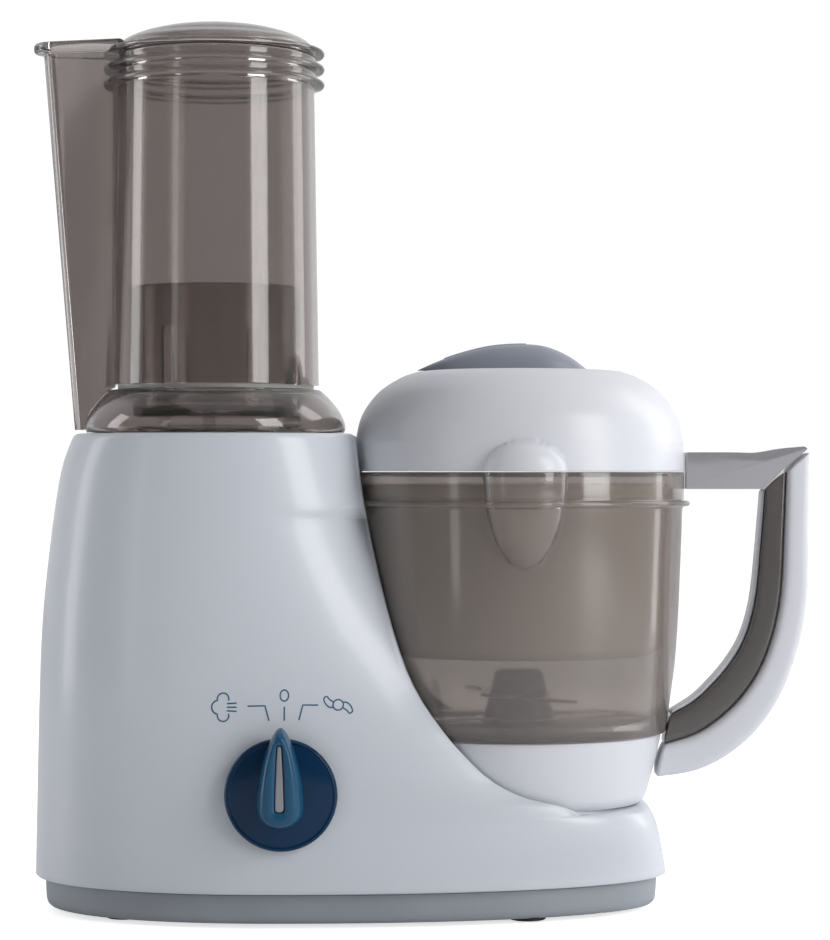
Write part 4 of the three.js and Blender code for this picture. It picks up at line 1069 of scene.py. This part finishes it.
# ---------- knob ----------
def drop_line(grow, count=112):
    """The pointer's outline: a drop with its tip up."""
    tip, low, half = 25 + grow, 14.4 + grow, 8.6 + grow
    knots = [[(0, tip), (3.2, tip), (half, 9), (half, -4)],
             [(half, -4), (half, -low), (-half, -low), (-half, -4)],
             [(-half, -4), (-half, 9), (-3.2, tip), (0, tip)]]
    line = []
    for p0, p1, p2, p3 in knots:
        for t in np.linspace(0, 1, 60, endpoint=False):
            line.append([(1 - t) ** 3 * a + 3 * t * (1 - t) ** 2 * b + 3 * t * t * (1 - t) * c + t ** 3 * d
                         for a, b, c, d in zip(p0, p1, p2, p3)])
    return evenly(line + [line[0]], count + 1)[:-1]


def window_line(grow, count=112):
    """The window's outline: narrow at its top, round at its bottom."""
    top, low = 19 + grow, -5 - grow
    line = rounded([(-0.7 - grow, top, 0.8), (0.7 + grow, top, 0.8), (1.35 + grow, 8, 5),
                    (1.7 + grow, low, 1.6), (-1.7 - grow, low, 1.6), (-1.35 - grow, 8, 5)], 0.8, 8)
    line = np.vstack([[(0.0, top)], line[9:], line[:9], [(0.0, top)]])
    line = evenly(line, count + 1)[:-1]
    return line


def forward_rings(levels):
    return [np.stack([KNOB_X + line[:, 0], np.full(len(line), -h), KNOB_Z + line[:, 1]],
                     axis=1) for h, line in levels]


def build_knob(sizes, colours):
    radius = sizes.knob_radius / MM
    profile = rounded([(0, 64.2, 0), (radius - 0.9, 64.2, 0.3), (radius, 64.9, 0.5),
                       (radius, 66.6, 0.7), (radius - 1, 67.5, 0.6),
                       (radius - 1.6, 67.0, 0.4), (radius - 3, 67.3, 1.5), (12, 68.0, 4),
                       (0, 68.3, 0)], 0.5, 5, closed=False)
    blue = finish("deep blue gloss plastic", colours.knob, 0.16, grain=1000, tint=0.05, mottle=0.03,
                  bump=0.02, ior=1.3, coat=0.1, coat_rough=0.05)
    obj = facing("knob_dish", profile, blue, KNOB_X, KNOB_Z, 144)
    place(obj, "knob", "knob_blue", "knob_disc")
    levels = [(68.7, drop_line(0)), (70.4, drop_line(0)), (72.2, drop_line(-0.15)),
              (74.2, drop_line(-0.6)),
              (76.0, drop_line(-1.3)), (77.3, drop_line(-2.1)), (78.1, drop_line(-3.0)),
              (78.4, drop_line(-4.0)),
              (78.45, drop_line(-4.9)), (78.3, window_line(0.55)), (77.9, window_line(0.3)),
              (73.2, window_line(0.3))]
    pointer = finish("blue moulded plastic", colours.pointer, 0.2, grain=1200, tint=0.04, bump=0.03,
                     ior=1.35, coat=0.15)
    obj = made("knob_pointer_drop", *skin(forward_rings(levels)), pointer, sharp=60)
    place(obj, "knob", "pointer_blue", "knob_pointer")
    glaze = finish("clouded window plastic", (0.33, 0.34, 0.38), 0.3, grain=1500, tint=0.25,
                   mottle=0.1, bump=0.3, clear=0.25)
    levels = [(73.5, window_line(0)), (77.6, window_line(0)), (77.85, window_line(-0.25)),
              (77.9, window_line(-0.6))]
    obj = made("knob_window", *skin(forward_rings(levels)), glaze, sharp=45)
    place(obj, "knob", "lens", "pointer_window")


# ---------- printed marks ----------
def printed(points, width, closed=False):
    """A thin printed line that follows the housing's front."""
    line = np.array(points, float)
    ahead = np.roll(line, -1, axis=0) - line if closed else np.gradient(line, axis=0)
    if closed:
        ahead = ahead + (line - np.roll(line, 1, axis=0))
    ahead /= np.linalg.norm(ahead, axis=1)[:, None]
    aside = np.stack([-ahead[:, 1], ahead[:, 0]], axis=1) * width / 2
    rings = []
    for left, right in zip(line + aside, line - aside):
        y0, y1 = front_y(*left), front_y(*right)
        rings.append(np.array([(left[0], y0 - 0.05, left[1]), (right[0], y1 - 0.05, right[1]),
                               (right[0], y1 + 0.12, right[1]), (left[0], y0 + 0.12, left[1])]))
    return skin(rings, loop=closed)


def arc(cx, cz, r, start, end, count=14, squash=1.0):
    turn = np.radians(np.linspace(start, end, count))
    return [(cx + r * math.cos(a), cz + r * squash * math.sin(a)) for a in turn]


def polyline(corners, step=0.6):
    line = []
    for a, b in zip(corners, corners[1:]):
        count = max(2, int(math.dist(a, b) / step))
        line += [tuple(np.array(a) + (np.array(b) - np.array(a)) * i / count) for i in range(count)]
    return line + [corners[-1]]


def build_marks(sizes, colours):
    width = sizes.line_width / MM
    zero = arc(-50.5, 85.8, 1.55, 0, 360, 40, 1.3)[:-1]
    lines = [(zero, True), (polyline([(-50.5, 81.7), (-50.5, 76.6)]), False),
             (polyline([(-64.0, 82), (-57.6, 82.1), (-56.1, 76.6)]), False),
             (polyline([(-38.0, 82.2), (-43.7, 82.3), (-45.1, 76.8)]), False)]
    x, z = -73.0, 81.6
    cloud = (arc(x, z + 3.1, 2.1, -20, 195, 18) + arc(x - 1.6, z, 2.6, 125, 235, 14)
             + arc(x, z - 3.1, 2.1, 165, 380, 18))
    lines.append((cloud, False))
    for lift, fan in ((1.3, 0.35), (0.0, 0.0), (-1.3, -0.35)):
        lines.append((polyline([(x + 1.4, z + lift), (x + 5.0, z + lift + fan - 0.35 * fan)]),
                      False))
    x, z = -30.7, 82.2
    lines.append((arc(x, z, 1.9, 0, 360, 34)[:-1], True))
    for side in (1, -1):
        wing = [(1.8, 0.9), (3.2, 0.8), (4.6, -0.4), (5.3, -2.3), (4.2, -3.1), (3.3, -2.1),
                (1.7, -1.0)]
        if side < 0:
            wing = [(-a, -b) for a, b in wing]
        path = spline(wing, 34)
        lines.append(([(x + a, z + b) for a, b in path], False))
    verts, faces = [], []
    for points, closed in lines:
        v, f = printed(points, width, closed)
        faces += [[i + len(verts) for i in face] for face in f]
        verts += v.tolist()
    ink = finish("blue printed ink", colours.print_blue, 0.4, grain=2600, tint=0.1, bump=0.05)
    obj = made("printed_marks", verts, faces, ink)
    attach(obj, "base")


# ---------- finishes of the pieces kept from the frame ----------
def build_inner_finishes(sizes, colours):
    finishes = {
        "steel": steel(), "brass": brass(), "dark_plastic": dark_plastic(),
        "rubber": rubber(colours),
        "silicone": silicone(colours), "white": white_plastic(colours),
        "smoked": bell_plastic(colours),
        "lens": finish("lamp lens plastic", (0.5, 0.55, 0.6), 0.2, grain=600, tint=0.05, clear=0.4),
    }
    kept = {
        "motor_mount": "dark_plastic", "motor_end_cap": "steel", "motor_can": "steel",
        "motor_rotor": "steel",
        "motor_pulley": "brass", "drive_pulley": "dark_plastic", "drive_belt": "rubber",
        "cooling_fan": "dark_plastic",
        "drive_shaft": "steel", "lower_bearing": "brass", "upper_bearing": "brass",
        "shaft_seal": "rubber",
        "drive_coupling": "dark_plastic", "boiler_seal": "silicone", "heating_element": "steel",
        "thermostat": "dark_plastic", "steam_duct": "silicone", "steam_outlet_seal": "silicone",
        "selector_switch": "dark_plastic", "knob_spindle": "brass", "pilot_lamp": "lens",
        "interlock_switch": "dark_plastic", "interlock_plunger": "white", "plunger_spring": "steel",
        "bell_seal": "silicone", "blade_bush": "silicone", "blade_spindle": "steel",
        "lid_seal": "silicone",
    }
    for node, kind in kept.items():
        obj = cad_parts[node]
        obj.data.materials.clear()
        obj.data.materials.append(finishes[kind])


# ---------- stage ----------
def build_stage(sizes, colours):
    scene = bpy.context.scene
    scene.view_settings.view_transform = "Standard"
    scene.view_settings.look = "None"
    floor = bpy.data.meshes.new("floor")
    floor.from_pydata([(-6, -6, -0.0004), (6, -6, -0.0004), (6, 6, -0.0004), (-6, 6, -0.0004)], [],
                      [(0, 1, 2, 3)])
    ground = bpy.data.objects.new("floor", floor)
    scene.collection.objects.link(ground)
    pale = finish("pale floor", (0.92, 0.925, 0.94), 0.6, grain=60, tint=0.004, bump=0.0)
    glow = pale.node_tree.nodes["Principled BSDF"].inputs
    glow["Emission Color"].default_value = (1, 1, 1, 1)
    seen = pale.node_tree.nodes.new("ShaderNodeLightPath")
    level = pale.node_tree.nodes.new("ShaderNodeMath")
    level.operation = "MULTIPLY"
    level.inputs[1].default_value = 0.7
    pale.node_tree.links.new(seen.outputs["Is Camera Ray"], level.inputs[0])
    pale.node_tree.links.new(level.outputs["Value"], glow["Emission Strength"])
    floor.materials.append(pale)

    world = bpy.data.worlds.new("studio")
    scene.world = world
    world.use_nodes = True
    tree = world.node_tree
    add, link = tree.nodes.new, tree.links.new
    tree.nodes.clear()
    way, split = add("ShaderNodeTexCoord"), add("ShaderNodeSeparateXYZ")
    fade = add("ShaderNodeMapRange")
    fade.inputs["From Min"].default_value = -0.15
    fade.inputs["From Max"].default_value = 0.45
    fade.inputs["To Min"].default_value = 0.17
    fade.inputs["To Max"].default_value = 1.0
    around, plain = add("ShaderNodeBackground"), add("ShaderNodeBackground")
    mix = add("ShaderNodeMixShader")
    rays, out = add("ShaderNodeLightPath"), add("ShaderNodeOutputWorld")
    around.inputs["Color"].default_value = (0.97, 0.98, 1.0, 1)
    plain.inputs["Color"].default_value = (1, 1, 1, 1)
    plain.inputs["Strength"].default_value = 1.05
    link(way.outputs["Generated"], split.inputs["Vector"])
    link(split.outputs["Y"], fade.inputs["Value"])
    lean, level = add("ShaderNodeMapRange"), add("ShaderNodeMath")
    lean.inputs["From Min"].default_value = -0.9
    lean.inputs["From Max"].default_value = 0.9
    lean.inputs["To Min"].default_value = 0.62
    lean.inputs["To Max"].default_value = 1.12
    level.operation = "MULTIPLY"
    link(split.outputs["X"], lean.inputs["Value"])
    link(fade.outputs["Result"], level.inputs[0])
    link(lean.outputs["Result"], level.inputs[1])
    link(level.outputs["Value"], around.inputs["Strength"])
    link(rays.outputs["Is Camera Ray"], mix.inputs["Fac"])
    link(around.outputs["Background"], mix.inputs[1])
    link(plain.outputs["Background"], mix.inputs[2])
    link(mix.outputs["Shader"], out.inputs["Surface"])

    def lamp(name, spot, aim, wide, tall, power):
        data = bpy.data.lights.new(name, "AREA")
        data.shape = "RECTANGLE"
        data.size, data.size_y, data.energy = wide, tall, power
        obj = bpy.data.objects.new(name, data)
        scene.collection.objects.link(obj)
        obj.location = spot
        towards = Vector(aim) - obj.location
        obj.rotation_euler = towards.to_track_quat("-Z", "Y").to_euler()

    lamp("key softbox", (1.05, -0.8, 0.6), (0.0, 0, 0.12), 0.5, 1.1, 11.0)
    lamp("rim strip", (-1.05, 0.1, 0.25), (-0.08, 0, 0.15), 0.25, 1.1, 3.0)
    lamp("top panel", (0.1, -0.2, 1.5), (0, 0, 0.1), 1.4, 1.0, 2.6)
    lamp("back strip", (0.8, 0.35, 0.4), (-0.05, 0, 0.2), 0.3, 1.1, 2.5)
    lamp("left strip", (-0.75, -0.75, 0.35), (-0.08, 0, 0.2), 0.12, 0.9, 0.5)

    data = bpy.data.cameras.new("camera")
    data.sensor_fit = "HORIZONTAL"
    data.sensor_width = 36
    data.lens = 36 * 1100 / 323.7
    camera = bpy.data.objects.new("camera", data)
    scene.collection.objects.link(camera)
    camera.location = (-0.0023, -1.1, 0.169)
    camera.rotation_euler = (math.pi / 2, 0, 0)
    data.clip_end = 50
    scene.camera = camera


# ---------- add-on ----------
STEPS = [
    ("housing", "Housing", "Column, sweep and platform in one moulding", build_housing),
    ("base_plate", "Base plate", "Tray that closes the housing from below", build_base_plate),
    ("feet_and_screws", "Feet and screws", "Rubber feet and case screws", build_feet_and_screws),
    ("cord_gland", "Cord gland", "Sleeve where the lead leaves the housing", build_cord_gland),
    ("collar", "Steam collar", "Smoked collar on the column", build_collar),
    ("boiler", "Boiler", "Pressed pan and steam spike", build_boiler),
    ("bottle_stand", "Bottle holder", "Slotted cup on three legs", build_bottle_stand),
    ("bell", "Steam bell", "Smoked bell with its pouring channel", build_bell),
    ("jug", "Jug", "Smoked bowl with its spout, and its foot", build_jug),
    ("handle", "Handle", "Smoked core with white liner and cover", build_handle),
    ("blades", "Blades", "Hub cone and two ground blades", build_blades),
    ("basket", "Steam basket", "Slotted basket in the jug", build_basket),
    ("lid", "Lid", "Domed lid with its grip and inlay", build_lid),
    ("knob", "Knob", "Dish, pointer and window", build_knob),
    ("marks", "Printed marks", "Zero, lines and two plain symbols", build_marks),
    ("inner_finishes", "Inner finishes", "Finishes of the pieces kept from the frame",
     build_inner_finishes),
    ("stage", "Stage", "Floor, studio light and camera", build_stage),
]


def operator(key, label, about, build):
    def execute(self, context):
        scene = context.scene
        build(scene.food_maker_sizes, scene.food_maker_colours)
        return {"FINISHED"}

    return type("FOODMAKER_OT_" + key, (bpy.types.Operator,), {
        "__doc__": about, "bl_idname": "food_maker." + key, "bl_label": label, "execute": execute})


OPERATORS = [operator(*step) for step in STEPS]


class FOODMAKER_PT_steps(bpy.types.Panel):
    """Lists the steps that build the food maker"""
    bl_label = "Food maker"
    bl_space_type = "VIEW_3D"
    bl_region_type = "UI"
    bl_category = "Food Maker"

    def draw(self, context):
        for made_operator in OPERATORS:
            self.layout.operator(made_operator.bl_idname)


CLASSES = [FoodMakerSizes, FoodMakerColours, *OPERATORS, FOODMAKER_PT_steps]


def register():
    for made_class in CLASSES:
        bpy.utils.register_class(made_class)
    bpy.types.Scene.food_maker_sizes = PointerProperty(type=FoodMakerSizes)
    bpy.types.Scene.food_maker_colours = PointerProperty(type=FoodMakerColours)


def unregister():
    del bpy.types.Scene.food_maker_colours
    del bpy.types.Scene.food_maker_sizes
    for made_class in reversed(CLASSES):
        bpy.utils.unregister_class(made_class)


def main():
    register()
    for made_operator in OPERATORS:
        getattr(bpy.ops.food_maker, made_operator.bl_idname.split(".")[1])()


if __name__ == "__main__":
    main()
